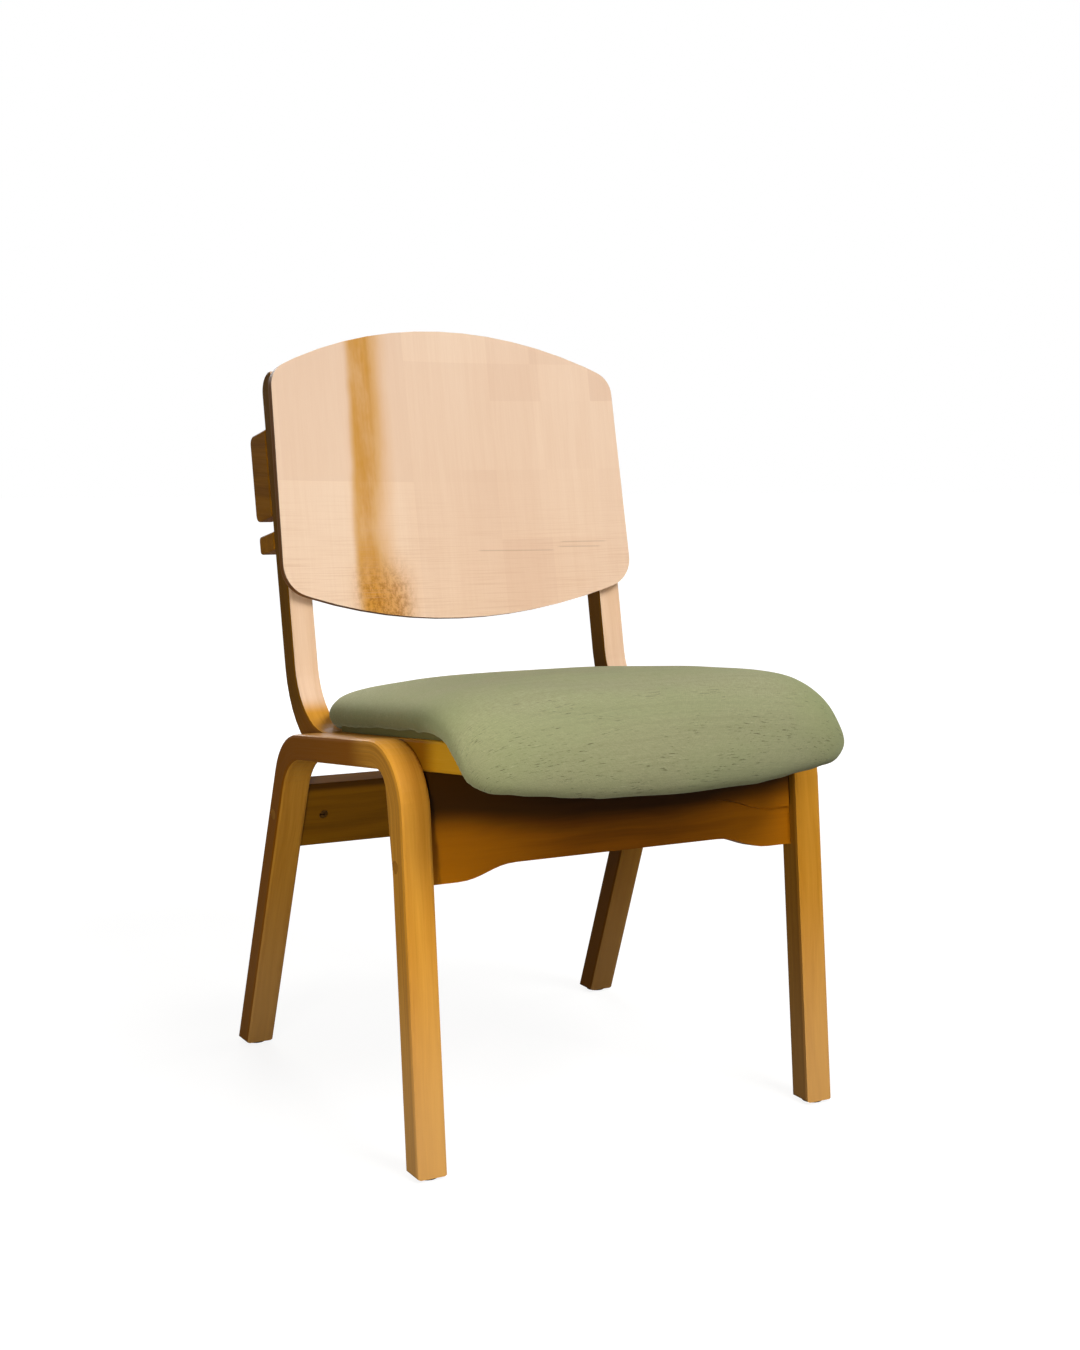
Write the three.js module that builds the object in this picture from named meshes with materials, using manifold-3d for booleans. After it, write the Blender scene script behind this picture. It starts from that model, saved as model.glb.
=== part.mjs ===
// Choir chair in bent laminated wood, with a moulded plywood back, an upholstered seat and a book rack.
// Millimetres. Y runs from the front to the back and Z is up. Left is -X and right is +X, seen from the front.
import * as THREE from "three";
import { mergeVertices } from "three/addons/utils/BufferGeometryUtils.js";
import Module from "manifold-3d";

const wasm = await Module();
wasm.setup();

// Fits and general values
const gap = 0.3; // between pieces that touch
const overrun = 20; // how far a cutting shape runs past what it cuts
const arcStep = THREE.MathUtils.degToRad(9); // turn between two points of an arc
const roundSides = 20; // sides of a round fastener or bore
const weld = 0.001; // points closer than this are one point
const leastStep = 0.03; // shortest step of an outline

// Overall sizes
const overallWidth = 500;
const footSpan = 486; // front of the front foot to back of the rear foot
const seatRailHeight = 399; // top of the seat rails halfway along the foot span
const seatTilt = THREE.MathUtils.degToRad(7); // fall of the seat to the back; the front legs stand square to it
const rearLegLean = THREE.MathUtils.degToRad(19);
const postLean = THREE.MathUtils.degToRad(12.5);

// Leg frames: one bent lamination each, in the shape of an upturned U
const legWidth = 33;
const legThickness = 28;
const frontBendRadius = 70;
const rearBendRadius = 70;
const frontKneeRadius = 22; // inside the front bend
const rearKneeRadius = 58; // inside the rear bend
const kneeWedge = 9; // extra thickness of the front leg at the knee
const kneeTaperDrop = 107; // under the seat rail height, where that wedge has run out
const kneeTaperRadius = 90;
const legEdgeRound = 3.5;

// Side members: back post and seat rail in one bent lamination
const memberWidth = 29;
const memberThickness = 31;
const postSetback = 21; // foot of the post's front face, behind the rear corner of the legs
const postLength = 407; // from there to the top of the post
const postTopRadius = 22;
const postFrontCorner = 6;
const memberBendRadius = 80; // inside the bend
const railReach = 79; // rail's front end, in front of the front legs
const noseReach = 21; // where the top of the rail starts to fall away, in front of the front legs
const noseRadius = 125;
const noseEdgeRadius = 5;
const memberEdgeRound = 3;

// Back panel
const panelThickness = 10;
const panelTopInset = 28; // of its top corners inside the overall width
const panelBottomInset = 23.5;
const panelOverhang = 52; // middle of its top edge, over the top of the posts
const panelHeight = 340;
const panelTopDrop = 55; // fall of the top arc from its middle to the sides
const panelBottomRise = 39; // rise of the bottom arc from its middle to the sides
const panelTopCorner = 30;
const panelBottomCorner = 36;
const panelCurveRadius = 1690; // hollow of the panel in plan
const panelArcSteps = 14;

// Front apron, and the front seat rail over it
const apronThickness = 20;
const apronRecess = 11.5; // behind the front of the legs
const apronDrop = 141.7; // bottom of its ends, under the top of the seat rails
const apronHeight = 41;
const apronRise = 13.5; // of the arch over the ends
const apronShoulder = 30; // straight part at each end
const apronSweep = 66; // length of the curve from an end into the arch
const frontRailProud = 3; // of the front seat rail over the apron
const frontRailEndGap = 2.5;

// Rear rail between the rear legs
const rearRailThickness = 20;
const rearRailHeight = 79;
const rearRailDrop = 149; // of its lower edge under the seat rail height
const rearRailEdgeRound = 2;

// Moulded seat board
const boardThickness = 9;
const boardInset = 12; // inside the outline of the cushion
const boardSideReach = 71; // its front edge near the corners, in front of the front legs
const boardFrontReach = 92; // and at the middle
const boardNotchClearance = 3; // around the bends of the side members
const boardNotchInset = 7; // of the notch's outer corner, inside the rear width of the cushion
const boardNotchRadius = 4;
const boardRearCorner = 30;
const boardFrontCorner = 40;

// Seat cushion
const cushionThickness = 57; // at the crown
const cushionRearInset = 43; // inside the overall width, each side
const cushionMiddleInset = 24;
const cushionFrontInset = 26;
const cushionDrawIn = 3; // of each side halfway between its corners
const cushionRearReach = 5; // behind the rear corner of the legs
const cushionMiddleSetback = 83; // where it is widest, behind the front of the legs
const cushionCentreSetback = 98; // and where its crown is highest
const cushionSideReach = 93; // flat length to the lip at the front corners, in front of the legs
const cushionFrontReach = 158; // flat length to the lip at the middle
const cushionRollReach = 22; // where the underside starts to roll down, at the middle
const cushionRollRadius = 68; // of the underside in the roll
const cushionBow = 17; // how much further forward the roll is at the middle than at the corners
const cushionRearCorner = 62;
const cushionFrontCorner = 46;
const cushionSideRadius = 1800;
const cushionFrontRadius = 1200;
const cushionOutlineSteps = 60;
const cushionLift = 0.6; // of its flat underside over the rails

// Book rack behind the posts, measured in line with the posts
const rackDrop = 161; // bottom of its cheeks, under the top of the posts
const rackCheekHeight = 100;
const rackCheekDepth = 49;
const rackCheekThickness = 18;
const rackCheekRadius = 9;
const rackBoardThickness = 9;
const rackBoardInset = 5;
const rackEdgeRound = 2;
const rackJoint = 17; // clear height between the ledge and the cheeks
const ledgeDepth = 45;
const ledgeThickness = 21;
const ledgeCornerRadius = 5;

// Foot glides
const glideHeight = 3;
const glideDiameter = 22;
const glidePinDiameter = 5;
const glidePinLength = 14;

// Knock-down fittings of the rails: a bolt through the leg into a barrel nut, with a wooden plug over its head
const boltDiameter = 6;
const boltHeadDiameter = 10;
const boltHeadHeight = 4.5;
const plugDiameter = 12;
const plugThickness = 5;
const barrelDiameter = 10;
const barrelLength = 16;
const barrelSetback = 23; // its axis, from the end of the rail
const barrelSlotWidth = 1.6;
const barrelSlotDepth = 1.2;
const boltTail = 8; // of the bolt past the axis of the nut
const apronBoltDepth = 19; // of the front bolts behind the front of the legs

// Bolts of the side members and of the back panel
const domeHeadDiameter = 14;
const domeHeadHeight = 3.6;
const socketDiameter = 4.4;
const socketDepth = 2;
const memberBoltBite = 18; // in the leg frame
const memberBoltDrop = 14.5; // under the top of the rail
const frontMemberBoltSetback = 83; // behind the front of the legs
const rearMemberBoltLead = 54; // in front of the rear corner of the legs
const panelBoltBite = 5.5;
const panelBoltDrops = [237, 41]; // under the top of the posts

// Seat screws
const screwDiameter = 4.5;
const screwHeadDiameter = 10;
const screwHeadHeight = 2.6;
const screwBite = 6;
const screwInset = 10; // from the inner face of the rails
const frontScrewSetback = 37; // behind the front of the legs
const rearScrewLead = 98; // in front of the rear corner of the legs

// Shares of a whole
const tipShare = 0.2; // of a shank that its chamfered tip takes
const rimShare = 0.35; // of a domed head's height that its rim takes
const domeShare = 0.62; // of a domed head's width across its top
const glideChamferShare = 0.84;
const sweepShare = 0.42; // pull of the ends of the apron's curve
// The cushion's rings from the crown down: share of the outline, and of the thickness
const cushionRingShares = [
  [0.3, 0.99],
  [0.5, 0.955],
  [0.68, 0.89],
  [0.8, 0.82],
  [0.88, 0.745],
  [0.935, 0.655],
  [0.97, 0.55],
  [0.992, 0.44],
  [1, 0.33],
  [0.99, 0.17],
  [0.96, 0.06],
  [0.9, 0],
  [0.5, 0],
];

const timber = new THREE.MeshStandardMaterial({ color: 0xb98a45, roughness: 0.45, metalness: 0 });
const darkTimber = new THREE.MeshStandardMaterial({ color: 0xa5702c, roughness: 0.5, metalness: 0 });
const paleVeneer = new THREE.MeshStandardMaterial({ color: 0xe2c19c, roughness: 0.4, metalness: 0 });
const plywood = new THREE.MeshStandardMaterial({ color: 0xc9a873, roughness: 0.6, metalness: 0 });
const fabric = new THREE.MeshStandardMaterial({ color: 0x8f9871, roughness: 0.95, metalness: 0 });
const steel = new THREE.MeshStandardMaterial({ color: 0x8e8f90, roughness: 0.35, metalness: 1 });
const nylon = new THREE.MeshStandardMaterial({ color: 0x2b2a28, roughness: 0.6, metalness: 0 });

const halfWidth = overallWidth / 2;
const legInner = halfWidth - legWidth;
const legMiddle = halfWidth - legWidth / 2;
const memberOuter = legInner - gap;
const memberInner = memberOuter - memberWidth;
const memberMiddle = (memberOuter + memberInner) / 2;
const boltBore = boltDiameter + 2 * gap;
const cushionRearHalf = halfWidth - cushionRearInset;
const cushionMiddleHalf = halfWidth - cushionMiddleInset;
const cushionFrontHalf = halfWidth - cushionFrontInset;

// Solids
function solidOf(geometry) {
  const bare = new THREE.BufferGeometry();
  bare.setAttribute("position", geometry.getAttribute("position"));
  if (geometry.index) bare.setIndex(geometry.index);
  const merged = mergeVertices(bare, weld);
  return new wasm.Manifold(
    new wasm.Mesh({
      numProp: 3,
      vertProperties: merged.attributes.position.array,
      triVerts: new Uint32Array(merged.index.array),
    }),
  );
}

function geometryOf(solid) {
  const mesh = solid.getMesh();
  const geometry = new THREE.BufferGeometry();
  geometry.setAttribute("position", new THREE.BufferAttribute(new Float32Array(mesh.vertProperties), 3));
  geometry.setIndex(new THREE.BufferAttribute(new Uint32Array(mesh.triVerts), 1));
  return geometry;
}

function cut(geometry, cutters) {
  let solid = solidOf(geometry);
  for (const cutter of cutters) solid = solid.subtract(solidOf(cutter));
  return geometryOf(solid);
}

function common(first, second) {
  return geometryOf(solidOf(first).intersect(solidOf(second)));
}

// The same piece for the other side of the chair
function mirrored(geometry) {
  const bare = geometry.index ? geometry.toNonIndexed() : geometry.clone();
  const place = bare.getAttribute("position");
  const other = new Float32Array(place.count * 3);
  for (let i = 0; i < place.count; i += 3) {
    [0, 2, 1].forEach((from, to) => {
      other[3 * (i + to)] = -place.getX(i + from);
      other[3 * (i + to) + 1] = place.getY(i + from);
      other[3 * (i + to) + 2] = place.getZ(i + from);
    });
  }
  return new THREE.BufferGeometry().setAttribute("position", new THREE.BufferAttribute(other, 3));
}

function add(group, name, geometry, material) {
  const mesh = new THREE.Mesh(geometry, material);
  mesh.name = name;
  group.add(mesh);
}

function addPair(group, name, rightGeometry, material) {
  add(group, name + "_left", mirrored(rightGeometry), material);
  add(group, name + "_right", rightGeometry, material);
}

// A closed outline through corners [u, v, radius], each rounded by an arc that keeps to its share of its edges
function roundedOutline(corners) {
  const count = corners.length;
  const places = corners.map(([u, v]) => new THREE.Vector2(u, v));
  const back = places.map((at, i) => places[(i + count - 1) % count].clone().sub(at).normalize());
  const on = places.map((at, i) => places[(i + 1) % count].clone().sub(at).normalize());
  const turns = back.map((way, i) => Math.PI - Math.acos(THREE.MathUtils.clamp(way.dot(on[i]), -1, 1)));
  const wanted = corners.map((corner, i) => corner[2] * Math.tan(turns[i] / 2));
  const tangents = wanted.map((tangent, i) => {
    const share = (other) => {
      const edge = places[i].distanceTo(places[other]);
      return Math.min(1, edge / Math.max(edge, wanted[i] + wanted[other]));
    };
    return tangent * Math.min(share((i + count - 1) % count), share((i + 1) % count));
  });
  const points = [];
  places.forEach((at, i) => {
    if (!tangents[i]) {
      points.push(at);
      return;
    }
    const radius = tangents[i] / Math.tan(turns[i] / 2);
    const side = Math.sign(on[i].cross(back[i]));
    const start = at.clone().addScaledVector(back[i], tangents[i]);
    const centre = start.clone().add(new THREE.Vector2(back[i].y, -back[i].x).multiplyScalar(radius * side));
    const steps = Math.max(1, Math.ceil(turns[i] / arcStep));
    for (let k = 0; k <= steps; k++) {
      points.push(start.clone().rotateAround(centre, (side * turns[i] * k) / steps));
    }
  });
  const apart = points.filter((p, i) => p.distanceTo(points[(i + 1) % points.length]) > leastStep);
  if (THREE.ShapeUtils.area(apart) < 0) apart.reverse();
  return apart;
}

function extrusion(outline, length, round) {
  return new THREE.ExtrudeGeometry(new THREE.Shape(outline), {
    depth: length - 2 * round,
    steps: 1,
    bevelEnabled: round > 0,
    bevelSize: round,
    bevelOffset: -round,
    bevelThickness: round,
    bevelSegments: 2,
  }).translate(0, 0, round);
}

// An outline in the side plane, u to the back and v up, extruded along X
function sideExtrusion(outline, from, to, round = 0) {
  return extrusion(outline, to - from, round)
    .translate(0, 0, from)
    .applyMatrix4(
      new THREE.Matrix4().makeBasis(
        new THREE.Vector3(0, 1, 0),
        new THREE.Vector3(0, 0, 1),
        new THREE.Vector3(1, 0, 0),
      ),
    );
}

// An outline in the front plane, x across and v up, extruded along Y
function frontExtrusion(outline, from, to, round = 0) {
  return extrusion(outline, to - from, round)
    .translate(0, 0, -to)
    .rotateX(Math.PI / 2);
}

// An outline in plan, extruded along Z
function planExtrusion(outline, from, to, round = 0) {
  return extrusion(outline, to - from, round).translate(0, 0, from);
}

function along(geometry, origin, direction) {
  geometry.applyQuaternion(
    new THREE.Quaternion().setFromUnitVectors(new THREE.Vector3(0, 1, 0), direction.clone().normalize()),
  );
  return geometry.translate(origin.x, origin.y, origin.z);
}

// A round bar or bore between two points
function rod(diameter, start, end) {
  const axis = end.clone().sub(start);
  const bar = new THREE.CylinderGeometry(diameter / 2, diameter / 2, axis.length(), roundSides);
  return along(bar, start.clone().add(end).multiplyScalar(1 / 2), axis);
}

// A turned piece: a profile of [diameter, distance] from its tip, set on a tip point along a direction
function turned(profile, tip, direction) {
  const points = profile.map(([across, distance]) => new THREE.Vector2(across / 2, distance));
  return along(new THREE.LatheGeometry(points, roundSides), tip, direction);
}

// A bolt or screw with a domed head and a round socket
function domeBolt(shank, headAcross, headHeight, length, tip, direction) {
  return turned(
    [
      [0, 0],
      [shank * (1 - tipShare), 0],
      [shank, shank * tipShare],
      [shank, length],
      [headAcross, length],
      [headAcross, length + headHeight * rimShare],
      [headAcross * domeShare, length + headHeight],
      [socketDiameter, length + headHeight],
      [socketDiameter, length + headHeight - socketDepth],
      [0, length + headHeight - socketDepth],
    ],
    tip,
    direction,
  );
}
// Lines in the side plane, each a point and a direction: u is Y and v is Z
function line(u, v, du, dv) {
  return [new THREE.Vector2(u, v), new THREE.Vector2(du, dv).normalize()];
}

function shifted([point, direction], by) {
  return [point.clone().add(new THREE.Vector2(-direction.y, direction.x).multiplyScalar(by)), direction];
}

function crossing([p, d], [q, e]) {
  return p.clone().addScaledVector(d, q.clone().sub(p).cross(e) / d.cross(e));
}

function corner(point, radius = 0) {
  return [point.x, point.y, radius];
}

const level = (height) => line(0, height, 1, 0);
const seatLine = line(0, seatRailHeight, Math.cos(seatTilt), -Math.sin(seatTilt));
const frontLine = line(-footSpan / 2, glideHeight, Math.sin(seatTilt), Math.cos(seatTilt));
const rearLine = line(footSpan / 2, glideHeight, -Math.sin(rearLegLean), Math.cos(rearLegLean));
const frontInner = shifted(frontLine, -legThickness);
const rearInner = shifted(rearLine, legThickness);

// Frames of reference, as groups: the seat's, square to the front legs, the post's and the rear legs'
const seatGroup = new THREE.Group();
seatGroup.position.set(0, 0, seatRailHeight);
seatGroup.rotation.x = -seatTilt;

// Places along the seat's frame, set out from the front of the legs and from their rear corner
const legFront = -crossing(frontLine, seatLine).distanceTo(seatLine[0]);
const legRear = crossing(rearLine, seatLine).distanceTo(seatLine[0]);
const postFootAt = legRear + postSetback;
const noseAt = legFront - noseReach;
const railEndAt = legFront - railReach;
const cushionRearAt = legRear + cushionRearReach;
const cushionMiddleAt = legFront + cushionMiddleSetback;
const cushionCentreAt = legFront + cushionCentreSetback;
const cushionSideAt = legFront - cushionSideReach;
const cushionFrontAt = legFront - cushionFrontReach;
const memberBoltPlaces = [legFront + frontMemberBoltSetback, legRear - rearMemberBoltLead];
const seatScrewPlaces = [legFront + frontScrewSetback, legRear - rearScrewLead];

const postFoot = seatLine[0].clone().addScaledVector(seatLine[1], postFootAt);
const postGroup = new THREE.Group();
postGroup.position.set(0, postFoot.x, postFoot.y);
postGroup.rotation.x = -postLean;

const rearRailFoot = crossing(rearInner, level(seatRailHeight - rearRailDrop));
const rearLegGroup = new THREE.Group();
rearLegGroup.position.set(0, rearRailFoot.x, rearRailFoot.y);
rearLegGroup.rotation.x = rearLegLean;

const chair = new THREE.Group();
chair.add(seatGroup, postGroup, rearLegGroup);
chair.updateMatrixWorld(true);

// A geometry made in the frame of a group, brought into the chair's frame, and the other way round
function outOf(group, geometry) {
  return geometry.clone().applyMatrix4(group.matrixWorld);
}

function into(group, geometry) {
  return geometry.clone().applyMatrix4(group.matrixWorld.clone().invert());
}

// A point of the side plane given in the seat's frame, in the chair's
function seatPoint(back, up) {
  const p = new THREE.Vector3(0, back, up).applyMatrix4(seatGroup.matrixWorld);
  return new THREE.Vector2(p.y, p.z);
}

const postFront = line(postFoot.x, postFoot.y, Math.sin(postLean), Math.cos(postLean));
const postRear = shifted(postFront, -memberThickness);

// Knock-down fitting at the right end of a rail, on an axis along X through (back, up) in the rail's group
function railFitting(group, name, back, up, railEnd, faceAt, faceSide) {
  const at = (x) => new THREE.Vector3(x, back, up);
  const headEnd = halfWidth - plugThickness - gap;
  const headStart = headEnd - boltHeadHeight;
  const nutAxis = railEnd - barrelSetback;
  const tip = nutAxis - boltTail;
  const face = faceAt - faceSide * gap;
  const nutPoint = (depth) => new THREE.Vector3(nutAxis, face - faceSide * depth, up);
  const slotHalf = barrelSlotWidth / 2;
  const slotOutline = [
    [nutAxis - barrelDiameter, up - slotHalf, 0],
    [nutAxis + barrelDiameter, up - slotHalf, 0],
    [nutAxis + barrelDiameter, up + slotHalf, 0],
    [nutAxis - barrelDiameter, up + slotHalf, 0],
  ];
  const slotEnds = [face - faceSide * barrelSlotDepth, face + faceSide * overrun].sort((a, b) => a - b);
  const nut = cut(rod(barrelDiameter, nutPoint(0), nutPoint(barrelLength)), [
    rod(boltBore, at(nutAxis - barrelDiameter), at(nutAxis + barrelDiameter)),
    frontExtrusion(roundedOutline(slotOutline), slotEnds[0], slotEnds[1]),
  ]);
  const bolt = turned(
    [
      [0, 0],
      [boltDiameter * (1 - tipShare), 0],
      [boltDiameter, boltDiameter * tipShare],
      [boltDiameter, headStart - tip],
      [boltHeadDiameter, headStart - tip],
      [boltHeadDiameter, headEnd - tip],
      [socketDiameter, headEnd - tip],
      [socketDiameter, headEnd - tip - socketDepth],
      [0, headEnd - tip - socketDepth],
    ],
    at(tip),
    new THREE.Vector3(1, 0, 0),
  );
  addPair(group, name + "_barrel_nut", nut, steel);
  addPair(group, name + "_bolt", bolt, steel);
  addPair(group, name + "_bolt_plug", rod(plugDiameter, at(headEnd + gap), at(halfWidth)), timber);
  return {
    railCuts: [
      rod(boltBore, at(tip - 2 * gap), at(railEnd + overrun)),
      rod(barrelDiameter + 2 * gap, nutPoint(-overrun), nutPoint(barrelLength + gap)),
    ],
    legCuts: [
      rod(boltBore, at(legInner - overrun), at(halfWidth)),
      rod(plugDiameter + 2 * gap, at(headStart - gap), at(halfWidth + overrun)),
    ].map((bore) => outOf(group, bore)),
  };
}

// Front apron: an arched board of even height that sweeps down to a straight shoulder at each end
const apronFront = legFront + apronRecess;
const apronBack = apronFront + apronThickness;
const frontRailFront = apronFront - frontRailProud;
const apronEnd = legInner - gap;

function archPath(path, end, base, fromLeft) {
  const side = fromLeft ? -1 : 1;
  const at = (inset) => side * (apronEnd - inset);
  const bend = at(apronShoulder + apronSweep * sweepShare);
  const bendBack = at(apronShoulder + apronSweep * (1 - sweepShare));
  const crest = at(apronShoulder + apronSweep);
  const shoulder = at(apronShoulder);
  path.lineTo(side * end, base);
  path.lineTo(shoulder, base);
  path.bezierCurveTo(bend, base, bendBack, base + apronRise, crest, base + apronRise);
  path.lineTo(-crest, base + apronRise);
  path.bezierCurveTo(-bendBack, base + apronRise, -bend, base, -shoulder, base);
  path.lineTo(-side * end, base);
}
const apronCurveSteps = 8;

const apronPath = new THREE.Path();
apronPath.moveTo(-apronEnd, -apronDrop);
archPath(apronPath, apronEnd, -apronDrop, true);
archPath(apronPath, apronEnd, -apronDrop + apronHeight, false);
const apronFitting = railFitting(
  seatGroup,
  "front_apron",
  legFront + apronBoltDepth,
  -apronDrop + apronHeight / 2,
  apronEnd,
  apronBack,
  1,
);
const apronOutline = roundedOutline(apronPath.getPoints(apronCurveSteps).map((p) => [p.x, p.y, 0]));
add(
  seatGroup,
  "front_apron",
  cut(frontExtrusion(apronOutline, apronFront, apronBack), [
    ...apronFitting.railCuts,
    ...apronFitting.railCuts.map(mirrored),
  ]),
  darkTimber,
);

// Front seat rail: fills the space from the apron up to the underside of the side members
const frontRailEnd = legInner - frontRailEndGap;
const frontRailPath = new THREE.Path();
frontRailPath.moveTo(-frontRailEnd, -memberThickness - gap);
frontRailPath.lineTo(-frontRailEnd, -apronDrop + apronHeight + gap);
archPath(frontRailPath, frontRailEnd, -apronDrop + apronHeight + gap, true);
frontRailPath.lineTo(frontRailEnd, -memberThickness - gap);
const frontRailOutline = roundedOutline(frontRailPath.getPoints(apronCurveSteps).map((p) => [p.x, p.y, 0]));
add(seatGroup, "front_seat_rail", frontExtrusion(frontRailOutline, frontRailFront, apronBack), darkTimber);

// Rear rail, in the frame of the rear legs: 0 is the front face of the leg
const rearRailFront = (legThickness - rearRailThickness) / 2;
const rearFitting = railFitting(
  rearLegGroup,
  "rear_rail",
  legThickness / 2,
  rearRailHeight / 2,
  apronEnd,
  rearRailFront,
  -1,
);
const rearRailOutline = roundedOutline([
  [rearRailFront, 0, rearRailEdgeRound],
  [rearRailFront + rearRailThickness, 0, rearRailEdgeRound],
  [rearRailFront + rearRailThickness, rearRailHeight, rearRailEdgeRound],
  [rearRailFront, rearRailHeight, rearRailEdgeRound],
]);
add(
  rearLegGroup,
  "rear_rail",
  cut(sideExtrusion(rearRailOutline, -apronEnd, apronEnd), [
    ...rearFitting.railCuts,
    ...rearFitting.railCuts.map(mirrored),
  ]),
  darkTimber,
);

// Bolts that hold the side members to the leg frames
const acrossX = new THREE.Vector3(-1, 0, 0);
const memberBolts = memberBoltPlaces.map((back) => {
  const at = (x) => new THREE.Vector3(x, back, -memberBoltDrop);
  const tip = legInner + memberBoltBite;
  const length = tip - memberInner + gap;
  return {
    bolt: domeBolt(boltDiameter, domeHeadDiameter, domeHeadHeight, length, at(tip), acrossX),
    bore: outOf(seatGroup, rod(boltBore, at(memberInner - overrun), at(tip + gap))),
  };
});
memberBolts.forEach(({ bolt }, i) => {
  addPair(seatGroup, ["front", "rear"][i] + "_frame_bolt", bolt, steel);
});

// Screws that hold the seat board, driven up through the rails
const upward = new THREE.Vector3(0, 0, -1);
const seatScrews = seatScrewPlaces.map((back) => {
  const at = (up) => new THREE.Vector3(memberInner + screwInset, back, up);
  const tip = gap + screwBite;
  const length = tip + memberThickness + gap;
  return {
    screw: domeBolt(screwDiameter, screwHeadDiameter, screwHeadHeight, length, at(tip), upward),
    bore: rod(screwDiameter + 2 * gap, at(-memberThickness - overrun), at(tip + gap)),
  };
});
seatScrews.forEach(({ screw }, i) => {
  addPair(seatGroup, ["front", "rear"][i] + "_seat_screw", screw, steel);
});

// Bolts that hold the back panel, from behind the posts
const panelContact = memberInner + memberEdgeRound;
const panelRearAt = (x) => (panelContact ** 2 - x ** 2) / (2 * panelCurveRadius) - gap;
const backward = new THREE.Vector3(0, 1, 0);
const panelBolts = panelBoltDrops.map((drop) => {
  const at = (back) => new THREE.Vector3(memberMiddle, back, postLength - drop);
  const tip = panelRearAt(memberMiddle) - panelBoltBite;
  const length = memberThickness + gap - tip;
  return {
    bolt: domeBolt(boltDiameter, domeHeadDiameter, domeHeadHeight, length, at(tip), backward),
    bore: rod(boltBore, at(tip - gap), at(memberThickness + overrun)),
  };
});
panelBolts.forEach(({ bolt }, i) => {
  addPair(postGroup, ["lower", "upper"][i] + "_panel_bolt", bolt, steel);
});

// Foot glides: a nylon disc under each foot with a pin up into the leg
const footPoint = (outer, inner) => {
  const middle = crossing(outer, level(glideHeight)).add(crossing(inner, level(glideHeight)));
  return new THREE.Vector3(legMiddle, middle.x / 2, 0);
};
const feet = { front: footPoint(frontLine, frontInner), rear: footPoint(rearLine, rearInner) };
const skyward = new THREE.Vector3(0, 0, 1);
const glideBores = Object.entries(feet).map(([end, foot]) => {
  const glide = turned(
    [
      [0, 0],
      [glideDiameter * glideChamferShare, 0],
      [glideDiameter, glideHeight * (1 - glideChamferShare)],
      [glideDiameter, glideHeight - gap],
      [glidePinDiameter, glideHeight - gap],
      [glidePinDiameter, glideHeight + glidePinLength],
      [0, glideHeight + glidePinLength],
    ],
    foot,
    skyward,
  );
  addPair(chair, "foot_glide_" + end, glide, nylon);
  const top = foot.clone().setZ(glideHeight + glidePinLength + gap);
  return rod(glidePinDiameter + 2 * gap, foot, top);
});

// Leg frames: the outline, or the same grown by a clearance
function legOutline(grow = 0) {
  const front = shifted(frontLine, grow);
  const rear = shifted(rearLine, -grow);
  const top = shifted(seatLine, grow);
  const under = shifted(seatLine, -legThickness - grow);
  const insideFront = shifted(frontLine, -legThickness - grow);
  const insideRear = shifted(rearLine, legThickness + grow);
  return roundedOutline([
    corner(crossing(front, level(glideHeight))),
    corner(crossing(front, top), frontBendRadius + grow),
    corner(crossing(rear, top), rearBendRadius + grow),
    corner(crossing(rear, level(glideHeight))),
    corner(crossing(insideRear, level(glideHeight))),
    corner(crossing(insideRear, under), rearKneeRadius - grow),
    corner(crossing(shifted(insideFront, -kneeWedge), under), frontKneeRadius - grow),
    corner(crossing(insideFront, level(seatRailHeight - kneeTaperDrop)), kneeTaperRadius),
    corner(crossing(insideFront, level(glideHeight))),
  ]);
}
const legFrame = cut(sideExtrusion(legOutline(), legInner, halfWidth, legEdgeRound), [
  ...apronFitting.legCuts,
  ...rearFitting.legCuts,
  ...memberBolts.map(({ bore }) => bore),
  ...glideBores,
]);
addPair(chair, "leg_frame", legFrame, timber);

// Side members, and the same outline grown by a clearance
const noseTurn = Math.asin((railReach - noseReach) / noseRadius);

function memberOutline(grow = 0) {
  const top = shifted(seatLine, grow);
  const under = shifted(seatLine, -memberThickness - grow);
  const front = shifted(postFront, grow);
  const rear = shifted(postRear, -grow);
  const topPoint = postFront[0].clone().addScaledVector(postFront[1], postLength + grow);
  const topLine = line(topPoint.x, topPoint.y, postFront[1].y, -postFront[1].x);
  const noseFall = (noseRadius + grow) * (1 - Math.cos(noseTurn));
  const noseEnd = noseAt - (noseRadius + grow) * Math.sin(noseTurn);
  const noseCorner = noseAt - (noseRadius + grow) * Math.tan(noseTurn / 2);
  return roundedOutline([
    corner(crossing(front, topLine), postFrontCorner + grow),
    corner(crossing(rear, topLine), postTopRadius + grow),
    corner(crossing(rear, under), memberBendRadius + memberThickness + grow),
    corner(seatPoint(noseEnd, -memberThickness - grow), noseEdgeRadius),
    corner(seatPoint(noseEnd, grow - noseFall)),
    corner(seatPoint(noseCorner, grow), noseRadius + grow),
    corner(crossing(front, top), memberBendRadius - grow),
  ]);
}
const sideMember = cut(sideExtrusion(memberOutline(), memberInner, memberOuter, memberEdgeRound), [
  ...memberBolts.map(({ bore }) => bore),
  ...seatScrews.map(({ bore }) => outOf(seatGroup, bore)),
  ...panelBolts.map(({ bore }) => outOf(postGroup, bore)),
]);
addPair(chair, "side_member", sideMember, timber);

// Back panel: a sheet hollow in plan, cut to an outline with arched top and bottom
const panelBottom = postLength + panelOverhang - panelHeight;
const panelHalfTop = halfWidth - panelTopInset;
const panelHalfBottom = halfWidth - panelBottomInset;

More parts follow.
